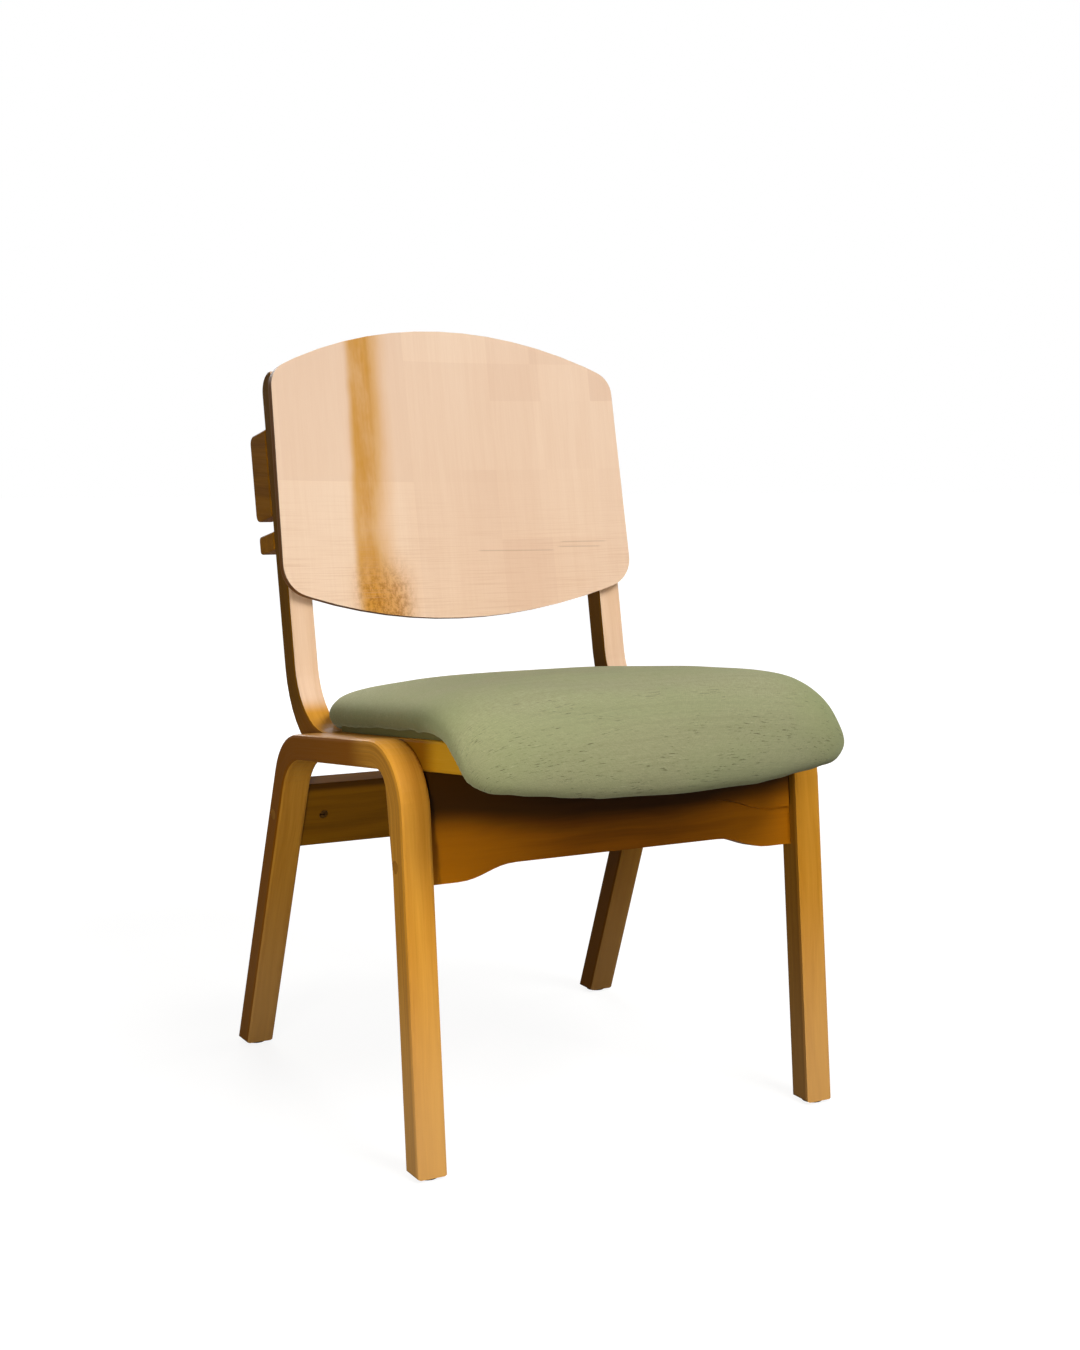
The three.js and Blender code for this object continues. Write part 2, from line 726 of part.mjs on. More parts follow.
function arc(half, middle, drop, fromLeft) {
  const radius = (half ** 2 + drop ** 2) / (2 * Math.abs(drop));
  const points = [];
  for (let k = 0; k <= panelArcSteps; k++) {
    const x = half * ((2 * k) / panelArcSteps - 1) * (fromLeft ? 1 : -1);
    const fall = radius - Math.sqrt(radius ** 2 - x ** 2);
    points.push([x, middle - Math.sign(drop) * fall, 0]);
  }
  return points;
}
const panelTopArc = arc(panelHalfTop, panelBottom + panelHeight, panelTopDrop, false);
const panelBottomArc = arc(panelHalfBottom, panelBottom, -panelBottomRise, true);
for (const end of [0, panelArcSteps]) {
  panelTopArc[end][2] = panelTopCorner;
  panelBottomArc[end][2] = panelBottomCorner;
}
const panelOutline = roundedOutline([...panelBottomArc, ...panelTopArc]);
const panelSheet = [];
const sheetHalf = panelHalfBottom + overrun;
for (const [depth, way] of [
  [0, 1],
  [panelThickness, -1],
]) {
  for (let k = 0; k <= 2 * panelArcSteps; k++) {
    const x = way * sheetHalf * (k / panelArcSteps - 1);
    panelSheet.push(new THREE.Vector2(x, panelRearAt(x) - depth));
  }
}
if (THREE.ShapeUtils.area(panelSheet) < 0) panelSheet.reverse();
const panel = common(
  planExtrusion(panelSheet, panelBottom - overrun, panelBottom + panelHeight + overrun),
  frontExtrusion(panelOutline, -memberThickness - sheetHalf / 2, memberThickness),
);
const panelBores = panelBolts.map(({ bore }) => bore);
add(postGroup, "back_panel", cut(panel, [...panelBores, ...panelBores.map(mirrored)]), paleVeneer);

// Book rack: a cheek behind each post, a board between them, and a ledge under them
const rackFront = memberThickness + gap;
const rackCheekBottom = postLength - rackDrop;
const rackCheekTop = rackCheekBottom + rackCheekHeight;
const rackCheekRear = memberThickness + rackCheekDepth;
const cheekInner = memberOuter - rackCheekThickness;
const cheekOutline = roundedOutline([
  [rackFront, rackCheekBottom, 0],
  [rackCheekRear, rackCheekBottom, rackCheekRadius],
  [rackCheekRear, rackCheekTop, rackCheekRadius],
  [rackFront, rackCheekTop, 0],
]);
addPair(postGroup, "rack_cheek", sideExtrusion(cheekOutline, cheekInner, memberOuter, rackEdgeRound), timber);

const rackBoardRear = rackCheekRear - rackBoardInset;
const rackBoardFront = rackBoardRear - rackBoardThickness;
const rackBoardOutline = roundedOutline([
  [rackBoardFront, rackCheekBottom + rackBoardInset, rackEdgeRound],
  [rackBoardRear, rackCheekBottom + rackBoardInset, rackEdgeRound],
  [rackBoardRear, rackCheekTop - rackBoardInset, rackEdgeRound],
  [rackBoardFront, rackCheekTop - rackBoardInset, rackEdgeRound],
]);
add(postGroup, "rack_board", sideExtrusion(rackBoardOutline, gap - cheekInner, cheekInner - gap), timber);

const ledgeTop = rackCheekBottom - rackJoint;
const ledgeRear = memberThickness + ledgeDepth;
const ledgeOutline = roundedOutline([
  [rackFront, ledgeTop - ledgeThickness, 0],
  [ledgeRear, ledgeTop - ledgeThickness, ledgeCornerRadius],
  [ledgeRear, ledgeTop, ledgeCornerRadius],
  [rackFront, ledgeTop, 0],
]);
add(postGroup, "rack_ledge", sideExtrusion(ledgeOutline, -memberOuter, memberOuter, rackEdgeRound), timber);

// Seat board: plywood bent down over the noses of the rails, cut to the outline of the seat
function seatOutline(rightCorners, frontMiddle) {
  const left = rightCorners.map(([x, back, radius]) => [-x, back, radius]);
  return roundedOutline([...left, frontMiddle, ...rightCorners.slice().reverse()]);
}

function boardBand(under, over) {
  const points = (height) => {
    const radius = noseRadius + height;
    const steps = Math.ceil((2 * noseTurn) / arcStep) * 2;
    const row = [new THREE.Vector2(cushionRearAt + overrun, height)];
    for (let k = 0; k <= steps; k++) {
      const turn = (2 * noseTurn * k) / steps;
      row.push(new THREE.Vector2(noseAt - radius * Math.sin(turn), radius * Math.cos(turn) - noseRadius));
    }
    return row;
  };
  return [...points(under).reverse(), ...points(over)].reverse();
}

// The board is notched clear of the bends, where the side members rise into the posts
const bendTurn = Math.PI / 2 - postLean + seatTilt;
const bendStart = postFootAt - memberBendRadius * Math.tan(bendTurn / 2);
const notchSide = memberInner - boardNotchClearance;
const notchBack = bendStart - boardNotchClearance;

function boardSolid(grow) {
  const inset = boardInset - grow;
  const band = boardBand(gap - grow, gap + boardThickness + grow);
  const outline = seatOutline(
    [
      [notchSide + grow, cushionRearAt - inset, boardRearCorner + grow],
      [notchSide + grow, notchBack + grow, boardNotchRadius - grow],
      [cushionRearHalf - boardNotchInset + grow, notchBack + grow, boardNotchRadius + grow],
      [cushionMiddleHalf - inset, cushionMiddleAt, cushionSideRadius],
      [cushionFrontHalf - inset, legFront - boardSideReach - grow, boardFrontCorner + grow],
    ],
    [0, legFront - boardFrontReach - grow, cushionFrontRadius],
  );
  return common(
    sideExtrusion(band, -cushionMiddleHalf, cushionMiddleHalf),
    planExtrusion(outline, -noseRadius, boardThickness + overrun),
  );
}
const screwBores = seatScrews.map(({ bore }) => bore);
add(seatGroup, "seat_board", cut(boardSolid(0), [...screwBores, ...screwBores.map(mirrored)]), plywood);

// Seat cushion: crowned, with rounded sides drawn in a little, rolled down over the front of the seat
const cushionCorners = seatOutline(
  [
    [cushionRearHalf, cushionRearAt, cushionRearCorner],
    [cushionMiddleHalf, cushionMiddleAt, cushionSideRadius],
    [cushionFrontHalf, cushionSideAt, cushionFrontCorner],
  ],
  [0, cushionFrontAt, cushionFrontRadius],
);
const cushionPlan = new THREE.Path([...cushionCorners, cushionCorners[0]]).getSpacedPoints(cushionOutlineSteps);

// A point of the flat cushion at a height over its underside, rolled down at the front
function rolled(x, back, height) {
  const start = legFront - cushionRollReach + cushionBow * (x / memberMiddle) ** 2;
  if (back >= start) return [x, back, cushionLift + height];
  const turn = (start - back) / cushionRollRadius;
  const radius = cushionRollRadius + height;
  return [
    x,
    start - radius * Math.sin(turn),
    cushionLift - cushionRollRadius + radius * Math.cos(turn),
  ];
}

function cushionBody() {
  const places = [];
  const faces = [];
  for (const [share, rise] of cushionRingShares) {
    for (let k = 0; k < cushionOutlineSteps; k++) {
      const { x, y } = cushionPlan[k];
      const corner = y < cushionMiddleAt ? cushionSideAt : cushionRearAt;
      const away = Math.min(1, (y - cushionMiddleAt) / (corner - cushionMiddleAt));
      const drawn = cushionDrawIn * Math.cos((away * Math.PI) / 2) ** 2;
      const across = x - Math.sign(x) * Math.min(Math.abs(x), drawn);
      const back = (y - cushionCentreAt) * share + cushionCentreAt;
      places.push(...rolled(across * share, back, rise * cushionThickness));
    }
  }
  const rings = cushionRingShares.length;
  const crown = places.length / 3;
  places.push(...rolled(0, cushionCentreAt, cushionThickness));
  places.push(...rolled(0, cushionCentreAt, 0));
  for (let k = 0; k < cushionOutlineSteps; k++) {
    const next = (k + 1) % cushionOutlineSteps;
    faces.push(crown, k, next);
    for (let ring = 1; ring < rings; ring++) {
      const a = (ring - 1) * cushionOutlineSteps;
      const b = ring * cushionOutlineSteps;
      faces.push(a + k, b + k, b + next, a + k, b + next, a + next);
    }
    const last = (rings - 1) * cushionOutlineSteps;
    faces.push(crown + 1, last + next, last + k);
  }
  const body = new THREE.BufferGeometry();
  body.setAttribute("position", new THREE.BufferAttribute(new Float32Array(places), 3));
  body.setIndex(faces);
  return body;
}
const memberSpace = into(
  seatGroup,
  sideExtrusion(memberOutline(gap), memberInner - gap, memberOuter + gap),
);
const legSpace = into(seatGroup, sideExtrusion(legOutline(gap), legInner - gap, halfWidth + gap));
const cushion = cut(cushionBody(), [
  boardSolid(gap),
  memberSpace,
  mirrored(memberSpace),
  legSpace,
  mirrored(legSpace),
]);
add(seatGroup, "seat_cushion", cushion, fabric);

// The whole chair, with the middle of its footprint at the origin
const bounds = new THREE.Box3().setFromObject(chair);
chair.position.set(
  -(bounds.min.x + bounds.max.x) / 2,
  -(bounds.min.y + bounds.max.y) / 2,
  -bounds.min.z,
);
const choirChair = new THREE.Group();
choirChair.name = "choir_chair";
choirChair.add(chair);

export default choirChair;
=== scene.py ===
# Looks for the choir chair: lacquered bent laminated wood, a pale curved back and a padded cloth seat.
# Metres. Y runs from the front of the chair to its back and Z is up.
import math

import bmesh
import bpy
import numpy
from mathutils import Matrix, Vector
from mathutils.bvhtree import BVHTree
from mathutils.kdtree import KDTree


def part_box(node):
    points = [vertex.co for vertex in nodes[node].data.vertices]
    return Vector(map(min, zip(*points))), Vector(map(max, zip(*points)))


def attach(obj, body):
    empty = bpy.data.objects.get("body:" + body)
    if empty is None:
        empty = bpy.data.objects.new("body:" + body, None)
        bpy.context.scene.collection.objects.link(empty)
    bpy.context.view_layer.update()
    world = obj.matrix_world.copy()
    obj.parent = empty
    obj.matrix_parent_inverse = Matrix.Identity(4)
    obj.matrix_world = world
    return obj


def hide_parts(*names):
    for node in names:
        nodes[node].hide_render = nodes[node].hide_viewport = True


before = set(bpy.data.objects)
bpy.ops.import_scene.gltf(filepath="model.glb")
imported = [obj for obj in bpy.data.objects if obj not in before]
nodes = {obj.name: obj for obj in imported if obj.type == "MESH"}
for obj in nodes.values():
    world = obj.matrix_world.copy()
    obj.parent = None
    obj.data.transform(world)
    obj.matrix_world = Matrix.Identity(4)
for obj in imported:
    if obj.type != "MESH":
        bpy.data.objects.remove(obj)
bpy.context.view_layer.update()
scene = bpy.context.scene

# Heights, slopes and bends of the bent strips, which the grain follows
FOOT_Z = 0.003
SEAT_RAIL_Z = 0.399
TILT = math.radians(7)
REAR_LEAN = math.radians(19)
POST_LEAN = math.radians(12.5)
LEG_BEND = 0.070
MEMBER_BEND = 0.080

leg_low, leg_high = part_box("leg_frame_left")
FRONT_Y = leg_low.y
REAR_Y = leg_high.y
MIDDLE_Y = (FRONT_Y + REAR_Y) / 2
POST_FOOT_Y = MIDDLE_Y + 0.1323
REAR_RAIL_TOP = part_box("rear_rail")[1].z

# Points of the side plane, each a place along y and a height
ORIGIN = (0.0, 0.0)
SEAT_MIDDLE = (MIDDLE_Y, SEAT_RAIL_Z)
FRONT_FOOT = (FRONT_Y, FOOT_Z)
REAR_FOOT = (REAR_Y, FOOT_Z)

# Directions of the side plane, each a part along y and a part along z
SEAT_UP = (math.sin(TILT), math.cos(TILT))
SEAT_DOWN = (-math.sin(TILT), -math.cos(TILT))
SEAT_BACK = (math.cos(TILT), -math.sin(TILT))
REAR_DOWN = (math.sin(REAR_LEAN), -math.cos(REAR_LEAN))
REAR_IN = (-math.cos(REAR_LEAN), -math.sin(REAR_LEAN))
POST_UP = (math.sin(POST_LEAN), math.cos(POST_LEAN))
POST_BACK = (math.cos(POST_LEAN), -math.sin(POST_LEAN))
UPRIGHT = (0.0, 1.0)

# Where the cover starts to roll over the front, counted from the middle of the seat, and its radius there
ROLL_AT = (FRONT_Y - MIDDLE_Y) / math.cos(TILT) - 0.010
ROLL_RADIUS = 0.068


def crossing(p, d, q, e):
    """Where two lines of the side plane meet, each a point and a direction."""
    across = d[0] * e[1] - d[1] * e[0]
    k = ((q[0] - p[0]) * e[1] - (q[1] - p[1]) * e[0]) / across
    return (p[0] + k * d[0], p[1] + k * d[1])


def moved(point, way, by):
    return (point[0] + way[0] * by, point[1] + way[1] * by)


# Shader arithmetic: sockets that add and multiply like numbers


def connect(tree, place, item):
    """Links a value to an input, or sets a plain number on it."""
    if isinstance(item, Value):
        tree.links.new(item.socket, place)
    else:
        place.default_value = item


class Value:
    def __init__(self, tree, socket):
        self.tree = tree
        self.socket = socket

    def math(self, operation, *others):
        node = self.tree.nodes.new("ShaderNodeMath")
        node.operation = operation
        for place, item in zip(node.inputs, (self, *others)):
            connect(self.tree, place, item)
        return Value(self.tree, node.outputs[0])

    def __add__(self, other):
        return self.math("ADD", other)

    def __sub__(self, other):
        return self.math("SUBTRACT", other)

    def __mul__(self, other):
        return self.math("MULTIPLY", other)

    def __neg__(self):
        return self.math("MULTIPLY", -1.0)

    def size(self):
        return self.math("ABSOLUTE")

    def whole(self):
        return self.math("FLOOR")

    def above(self, other):
        return self.math("GREATER_THAN", other)

    def least(self, other):
        return self.math("MINIMUM", other)

    def most(self, other):
        return self.math("MAXIMUM", other)


def choose(test, yes, no):
    return no + (yes - no) * test


def ramp(value, low, high, to_low=0.0, to_high=1.0):
    """Maps low..high to to_low..to_high with a soft start and end, and holds the ends."""
    node = value.tree.nodes.new("ShaderNodeMapRange")
    node.interpolation_type = "SMOOTHSTEP"
    for place, item in zip(node.inputs, (value, low, high, to_low, to_high)):
        connect(value.tree, place, item)
    return Value(value.tree, node.outputs[0])


def split(tree, socket):
    parts = tree.nodes.new("ShaderNodeSeparateXYZ")
    tree.links.new(socket, parts.inputs[0])
    return [Value(tree, output) for output in parts.outputs]


def position(tree):
    return split(tree, tree.nodes.new("ShaderNodeTexCoord").outputs["Object"])


def facing(tree):
    """The parts of a face's normal along x, y and z."""
    return split(tree, tree.nodes.new("ShaderNodeNewGeometry").outputs["Normal"])


def to_side(slant):
    """1 where a slant along x says that a face looks to the side, 0 where it looks elsewhere."""
    return ramp(slant, 0.55, 0.8)


def noisy(tree, parts, detail=3.0, rough=0.5, scale=1.0, distort=0.0):
    """Soft noise at a place given by its three parts."""
    vector = tree.nodes.new("ShaderNodeCombineXYZ")
    for place, item in zip(vector.inputs, parts):
        connect(tree, place, item)
    node = tree.nodes.new("ShaderNodeTexNoise")
    node.inputs["Scale"].default_value = scale
    node.inputs["Detail"].default_value = detail
    node.inputs["Roughness"].default_value = rough
    node.inputs["Distortion"].default_value = distort
    tree.links.new(vector.outputs[0], node.inputs["Vector"])
    return Value(tree, node.outputs["Fac"])


def tinted(tree, factor, first, second):
    """A colour between two others. Each is a linear colour or a socket."""
    node = tree.nodes.new("ShaderNodeMix")
    node.data_type = "RGBA"
    connect(tree, node.inputs[0], factor)
    for place, item in ((node.inputs[6], first), (node.inputs[7], second)):
        connect(tree, place, item if isinstance(item, Value) else (*item, 1.0))
    return Value(tree, node.outputs[2])


def layered(tree, colour, *layers):
    """Lays tints over a colour, each with its share and its tone."""
    for share, tone in layers:
        colour = tinted(tree, share, colour, tone)
    return colour


def linear(value):
    share = value / 255
    if share <= 0.04045:
        return share / 12.92
    return ((share + 0.055) / 1.055) ** 2.4


def srgb(r, g, b):
    """A linear colour from display values of 0 to 255."""
    return (linear(r), linear(g), linear(b))


def material(name):
    made = bpy.data.materials.new(name)
    made.use_nodes = True
    tree = made.node_tree
    return made, tree, tree.nodes["Principled BSDF"]


def bumped(tree, shader, height, strength, distance):
    node = tree.nodes.new("ShaderNodeBump")
    node.inputs["Strength"].default_value = strength
    node.inputs["Distance"].default_value = distance
    tree.links.new(height.socket, node.inputs["Height"])
    tree.links.new(node.outputs[0], shader.inputs["Normal"])


# Grain coordinates: run along the piece, depth through its laminations, and breadth


def dot(y, z, origin, way):
    return (y - origin[0]) * way[0] + (z - origin[1]) * way[1]


def leg_grain(tree):
    """Follows the legs of a frame round its two bends."""
    x, y, z = position(tree)
    rail_line = moved(SEAT_MIDDLE, SEAT_DOWN, LEG_BEND)
    first = crossing(moved(FRONT_FOOT, SEAT_BACK, LEG_BEND), SEAT_UP, rail_line, SEAT_BACK)
    second = crossing(moved(REAR_FOOT, REAR_IN, LEG_BEND), REAR_DOWN, rail_line, SEAT_BACK)
    rail_length = math.dist(first, second)
    first_arc = LEG_BEND * math.pi / 2
    second_arc = LEG_BEND * (math.pi / 2 - REAR_LEAN - TILT)
    up_one = dot(y, z, first, SEAT_UP)
    on_one = dot(y, z, first, SEAT_BACK)
    up_two = dot(y, z, second, SEAT_UP)
    on_two = dot(y, z, second, SEAT_BACK)
    down_two = dot(y, z, second, REAR_DOWN)
    past_first = up_one.above(0.0)
    past_second = on_two.above(0.0)
    in_first = past_first * (-on_one).above(0.0)
    in_second = past_second * (-down_two).above(0.0)
    reach_one = (on_one * on_one + up_one * up_one).math("SQRT")
    reach_two = (on_two * on_two + up_two * up_two).math("SQRT")
    depth = choose(past_first, dot(y, z, SEAT_MIDDLE, SEAT_DOWN), dot(y, z, FRONT_FOOT, SEAT_BACK))
    depth = choose(past_second, dot(y, z, REAR_FOOT, REAR_IN), depth)
    depth = choose(in_first, -(reach_one - LEG_BEND), depth)
    depth = choose(in_second, -(reach_two - LEG_BEND), depth)
    angle_one = up_one.math("ARCTAN2", -on_one)
    angle_two = on_two.math("ARCTAN2", up_two)
    run = choose(past_first, on_one + first_arc, up_one)
    run = choose(in_first, angle_one * LEG_BEND, run)
    run = choose(past_second, down_two + (first_arc + rail_length + second_arc), run)
    run = choose(in_second, angle_two * LEG_BEND + (first_arc + rail_length), run)
    return run, depth, x


def member_grain(tree):
    """Follows a seat rail round its bend and up the back post."""
    x, y, z = position(tree)
    foot = crossing(SEAT_MIDDLE, SEAT_BACK, (POST_FOOT_Y, 0.0), UPRIGHT)
    rail_line = moved(SEAT_MIDDLE, SEAT_DOWN, -MEMBER_BEND)
    post_line = moved(foot, POST_BACK, -MEMBER_BEND)
    centre = crossing(rail_line, SEAT_BACK, post_line, POST_UP)
    arc = MEMBER_BEND * (math.pi / 2 - POST_LEAN + TILT)
    on = dot(y, z, centre, SEAT_BACK)
    up = dot(y, z, centre, POST_UP)
    under = dot(y, z, centre, SEAT_DOWN)
    on_post = up.above(0.0)
    in_bend = on.above(0.0) * (-up).above(0.0)
    reach = (on * on + under * under).math("SQRT")
    depth = choose(on_post, dot(y, z, foot, POST_BACK), dot(y, z, SEAT_MIDDLE, SEAT_DOWN))
    depth = choose(in_bend, reach - MEMBER_BEND, depth)
    run = choose(on_post, up + arc, on)
    run = choose(in_bend, on.math("ARCTAN2", under) * MEMBER_BEND, run)
    return run, depth, x


def across_grain(tree):
    """For rails and boards whose grain runs from side to side."""
    x, y, z = position(tree)
    return x, dot(y, z, ORIGIN, SEAT_BACK), dot(y, z, ORIGIN, SEAT_UP)


def up_grain(tree):
    """For the back panel, whose grain runs up in line with the posts."""
    x, y, z = position(tree)
    return dot(y, z, ORIGIN, POST_UP), dot(y, z, ORIGIN, POST_BACK), x


def front_grain(tree):
    """For boards whose grain runs from the front to the back."""
    x, y, z = position(tree)
    return y, z, x


def seat_frame(y, z):
    """Along the seat towards the back, and up from its rails."""
    return dot(y, z, SEAT_MIDDLE, SEAT_BACK), dot(y, z, SEAT_MIDDLE, SEAT_UP)


# Wood

PLY_THICKNESS = 0.0021
# Side faces: the tone of the ply edges, deepened with painted shade
SIDE_AMBER_AND_SHADE = srgb(132, 88, 4)
PLY_SHADE = srgb(100, 60, 4)
GLUE_LINE = srgb(80, 46, 4)
# Faces looking in towards the other side of the chair: painted shade between the frames
INNER_PAINTED_SHADE = srgb(80, 48, 4)
# What spreads the shades of neighbouring plies: a step of phase and a gain
PLY_PHASE = 12.9898
PLY_GAIN = 43.7


def wood(
    name, grain, pale, deep, seed, streaks=0.5, pores=0.5, gloss=0.42, shine=0.3, coat=0.1,
    layers=0.0, edge=0.35, inner=0.0, figure=None,
):
    """Lacquered wood: long soft streaks, fine pores along the grain, and glue lines between laminations.
    Side faces take the ply edge tone deepened with painted shade, and where asked, faces looking in towards
    the other side get painted shade.
    """
    made, tree, shader = material(name)
    run, depth, breadth = grain(tree)
    wander = noisy(tree, (run * 5.0, breadth * 9.0, depth * 9.0 + seed), 2.0)
    long_way = (run * 3.2, breadth * 70.0 + wander * 2.2, depth * 70.0 + seed)
    broad = noisy(tree, long_way, 4.0, 0.55, distort=0.25)
    fine = noisy(tree, (run * 16.0, breadth * 620.0, depth * 620.0 + seed), 4.0, 0.65)
    flecks = noisy(tree, (run * 55.0 + seed, breadth * 1500.0, depth * 1500.0), 2.0)
    cloud = noisy(tree, (run * 2.0 + seed, breadth * 7.0, depth * 7.0), 2.0)
    tone = ramp(broad, 0.34, 0.68) * streaks
    tone = tone + ramp(fine, 0.3, 0.75) * 0.22 + ramp(cloud, 0.3, 0.7) * 0.25
    tone = tone.least(1.0)
    colour = tinted(tree, tone, pale, deep)
    height = fine * 0.6 + flecks * pores
    if layers:
        sideways = facing(tree)[0]
        plies = depth * (1.0 / layers) + wander * 0.18
        shade = (plies.whole() * PLY_PHASE + seed).math("SINE").math("MULTIPLY", PLY_GAIN).math("FRACT")
        line = ramp((plies.math("FRACT") - 0.5).size(), 0.455, 0.495)
        edge_on = to_side(sideways.size())
        # Side faces take the ply edge tone deepened with painted shade, then the tones of single plies and
        # the glue lines
        colour = layered(
            tree, colour,
            (edge_on * edge, SIDE_AMBER_AND_SHADE),
            (shade * edge_on * 0.3, PLY_SHADE),
            (line * edge_on * 0.5, GLUE_LINE),
        )
        height = height - line * 0.8
    if figure:
        colour = figure(tree, colour, run, depth, breadth, tone)
    # Faces looking in towards the other side are darkened: painted shade between the frames
    if layers and inner:
        inward = to_side(-(sideways * breadth.math("SIGN")))
        colour = tinted(tree, inward * inner, colour, INNER_PAINTED_SHADE)
    connect(tree, shader.inputs["Base Color"], colour)
    connect(tree, shader.inputs["Roughness"], ramp(fine, 0.2, 0.8, gloss - 0.06, gloss + 0.12))
    shader.inputs["Coat Weight"].default_value = coat
    shader.inputs["Coat Roughness"].default_value = 0.28
    shader.inputs["Specular IOR Level"].default_value = shine
    bumped(tree, shader, height, 0.22, 0.00025)
    return made


# The figure of the back: its heartwood streak, the stain at the streak's foot and the fine scratches
STREAK_X = -0.112
STREAK_SLOPE = 0.01
STREAK_WANDER = 0.026
STREAK_TONE = srgb(213, 156, 70)
STREAK_CORE = srgb(186, 124, 24)
STAIN_RUN = 0.54
STAIN_TONE = srgb(208, 146, 50)
STAIN_SPECKS = srgb(148, 88, 12)
LEAF_TONE = srgb(222, 186, 160)
PATCH_TONE = srgb(216, 176, 150)
HAIR_TONE = srgb(206, 160, 124)
RIM_TONE = srgb(132, 80, 8)
SCRATCH_TONE = srgb(150, 104, 72)
# How far up each scratch is, and from where to where it goes
SCRATCHES = ((0.604, 0.028, 0.126), (0.606, 0.134, 0.188), (0.612, 0.138, 0.196))


def veneer_leaves(tree, rows, columns, seed, scale):
    """One even tone for each leaf of veneer."""
    return noisy(tree, (rows.whole(), columns.whole(), seed), 0.0, scale=scale)


def back_streak(tree, run, breadth, ahead):
    """The layers of the heartwood streak and of the stain at its foot."""
    drift = noisy(tree, (run * 6.0, breadth * 5.0, 3.0))
    across = breadth - (run - STAIN_RUN) * STREAK_SLOPE + (drift - 0.5) * STREAK_WANDER
    rib = noisy(tree, (run * 2.5, breadth * 190.0, 9.0), 3.0, 0.6)
    veil = noisy(tree, (run * 9.0, breadth * 26.0, 6.0), 4.0, 0.6)
    left = ramp(across, STREAK_X - 0.024, STREAK_X - 0.012)
    right = ramp(across, STREAK_X + 0.040, STREAK_X + 0.004)
    band = left * right * ahead * ramp(veil, 0.25, 0.7, 0.6, 1.0)
    core = ramp((across - STREAK_X + 0.002).size(), 0.024, 0.004)
    core = core * (ramp(rib, 0.3, 0.7, 0.2, 0.52) * ramp(veil, 0.3, 0.65, 0.3, 1.0)) * ahead
    mottle = noisy(tree, (run * 130.0, breadth * 170.0, 5.0), 7.0, 0.8)
    wide = ramp((across - STREAK_X - 0.012).size(), 0.050, 0.012)
    stain = ramp(run, STAIN_RUN + 0.075, STAIN_RUN + 0.005) * ahead * wide
    specks = stain * ramp(mottle, 0.43, 0.60)
    return (
        (band, STREAK_TONE),
        (core, STREAK_CORE),
        (stain * 0.75, STAIN_TONE),
        (specks * 0.7, STAIN_SPECKS),
    )


def back_scratch(run, breadth, at, start, end):
    line = ramp((run - at + (breadth - start) * 0.02).size(), 0.0009, 0.0002)
    return line * ramp(breadth, start - 0.004, start + 0.004) * ramp(breadth, end + 0.004, end - 0.004)


def back_figure(tree, colour, run, depth, breadth, tone):
    """Amber heartwood up one side, stained at its foot, leaves of veneer, and marks across the grain."""
    to_back, to_top = facing(tree)[1:]
    flat = dot(to_back, to_top, ORIGIN, POST_BACK)
    ahead = (-flat).above(0.0)
    leaf = veneer_leaves(tree, run * 7.0 + 0.2, breadth * 6.0 + 0.3, 2.0, 7.7)
    patch = veneer_leaves(tree, run * 12.0 + 0.6, breadth * 15.0 + 0.1, 5.0, 6.1)
    patch = ramp(patch, 0.42, 0.62) * ramp(breadth, -0.02, 0.06) * ahead
    hair = noisy(tree, (run * 700.0, breadth * 11.0, 1.0), 4.0, 0.6)
    hair = ramp(run, STAIN_RUN + 0.18, STAIN_RUN + 0.03) * ramp(hair, 0.45, 0.70)
    colour = layered(
        tree, colour,
        (ramp(leaf, 0.35, 0.65) * 0.4, LEAF_TONE),
        (patch * 0.3, PATCH_TONE),
        *back_streak(tree, run, breadth, ahead),
        (hair * 0.30, HAIR_TONE),
    )
    for scratch in SCRATCHES:
        line = back_scratch(run, breadth, *scratch)
        colour = tinted(tree, line * ahead * 0.32, colour, SCRATCH_TONE)
    rim = ramp(flat.size(), 0.75, 0.35)
    plies = ramp((depth * 700.0).math("SINE"), -0.2, 0.2)
    return tinted(tree, rim * (plies * 0.1 + 0.88), colour, RIM_TONE)


# The figures of the other pieces
HONEY = (srgb(222, 160, 62), srgb(186, 122, 31))
HONEY_FRONT = srgb(205, 156, 10)
# Side faces of the honey coloured part: ply edge tone, deepened with painted shade
HONEY_SIDE_AND_SHADE = srgb(134, 84, 2)
FOOT_PALE = srgb(228, 180, 122)
# Top faces of the leg rails darkened: painted shade
RAIL_TOP_PAINTED_SHADE = srgb(150, 98, 22)
# Side faces of the leg rails deepened: painted shade
RAIL_SIDE_PAINTED_SHADE = srgb(142, 84, 2)
# The right frame darkened above its feet: painted shade
RIGHT_FRAME_PAINTED_SHADE = srgb(180, 124, 22)
# The right rear leg darkened: painted shadow of the seat
RIGHT_REAR_PAINTED_SHADOW = srgb(62, 36, 6)
# The cover turned over the board, darkened with painted shade
TURNED_COVER_IN_SHADE = srgb(94, 92, 50)
# Ends of the front rails brightened: painted light where the seat shades them less
RAIL_END_PAINTED_LIGHT = srgb(200, 122, 4)
# Front rails darkened upwards under the seat: painted shade
SEAT_PAINTED_SHADE = srgb(24, 10, 1)
# The top of the rear rail's front darkened: painted shadow of the seat
REAR_PAINTED_SHADOW = srgb(52, 24, 8)


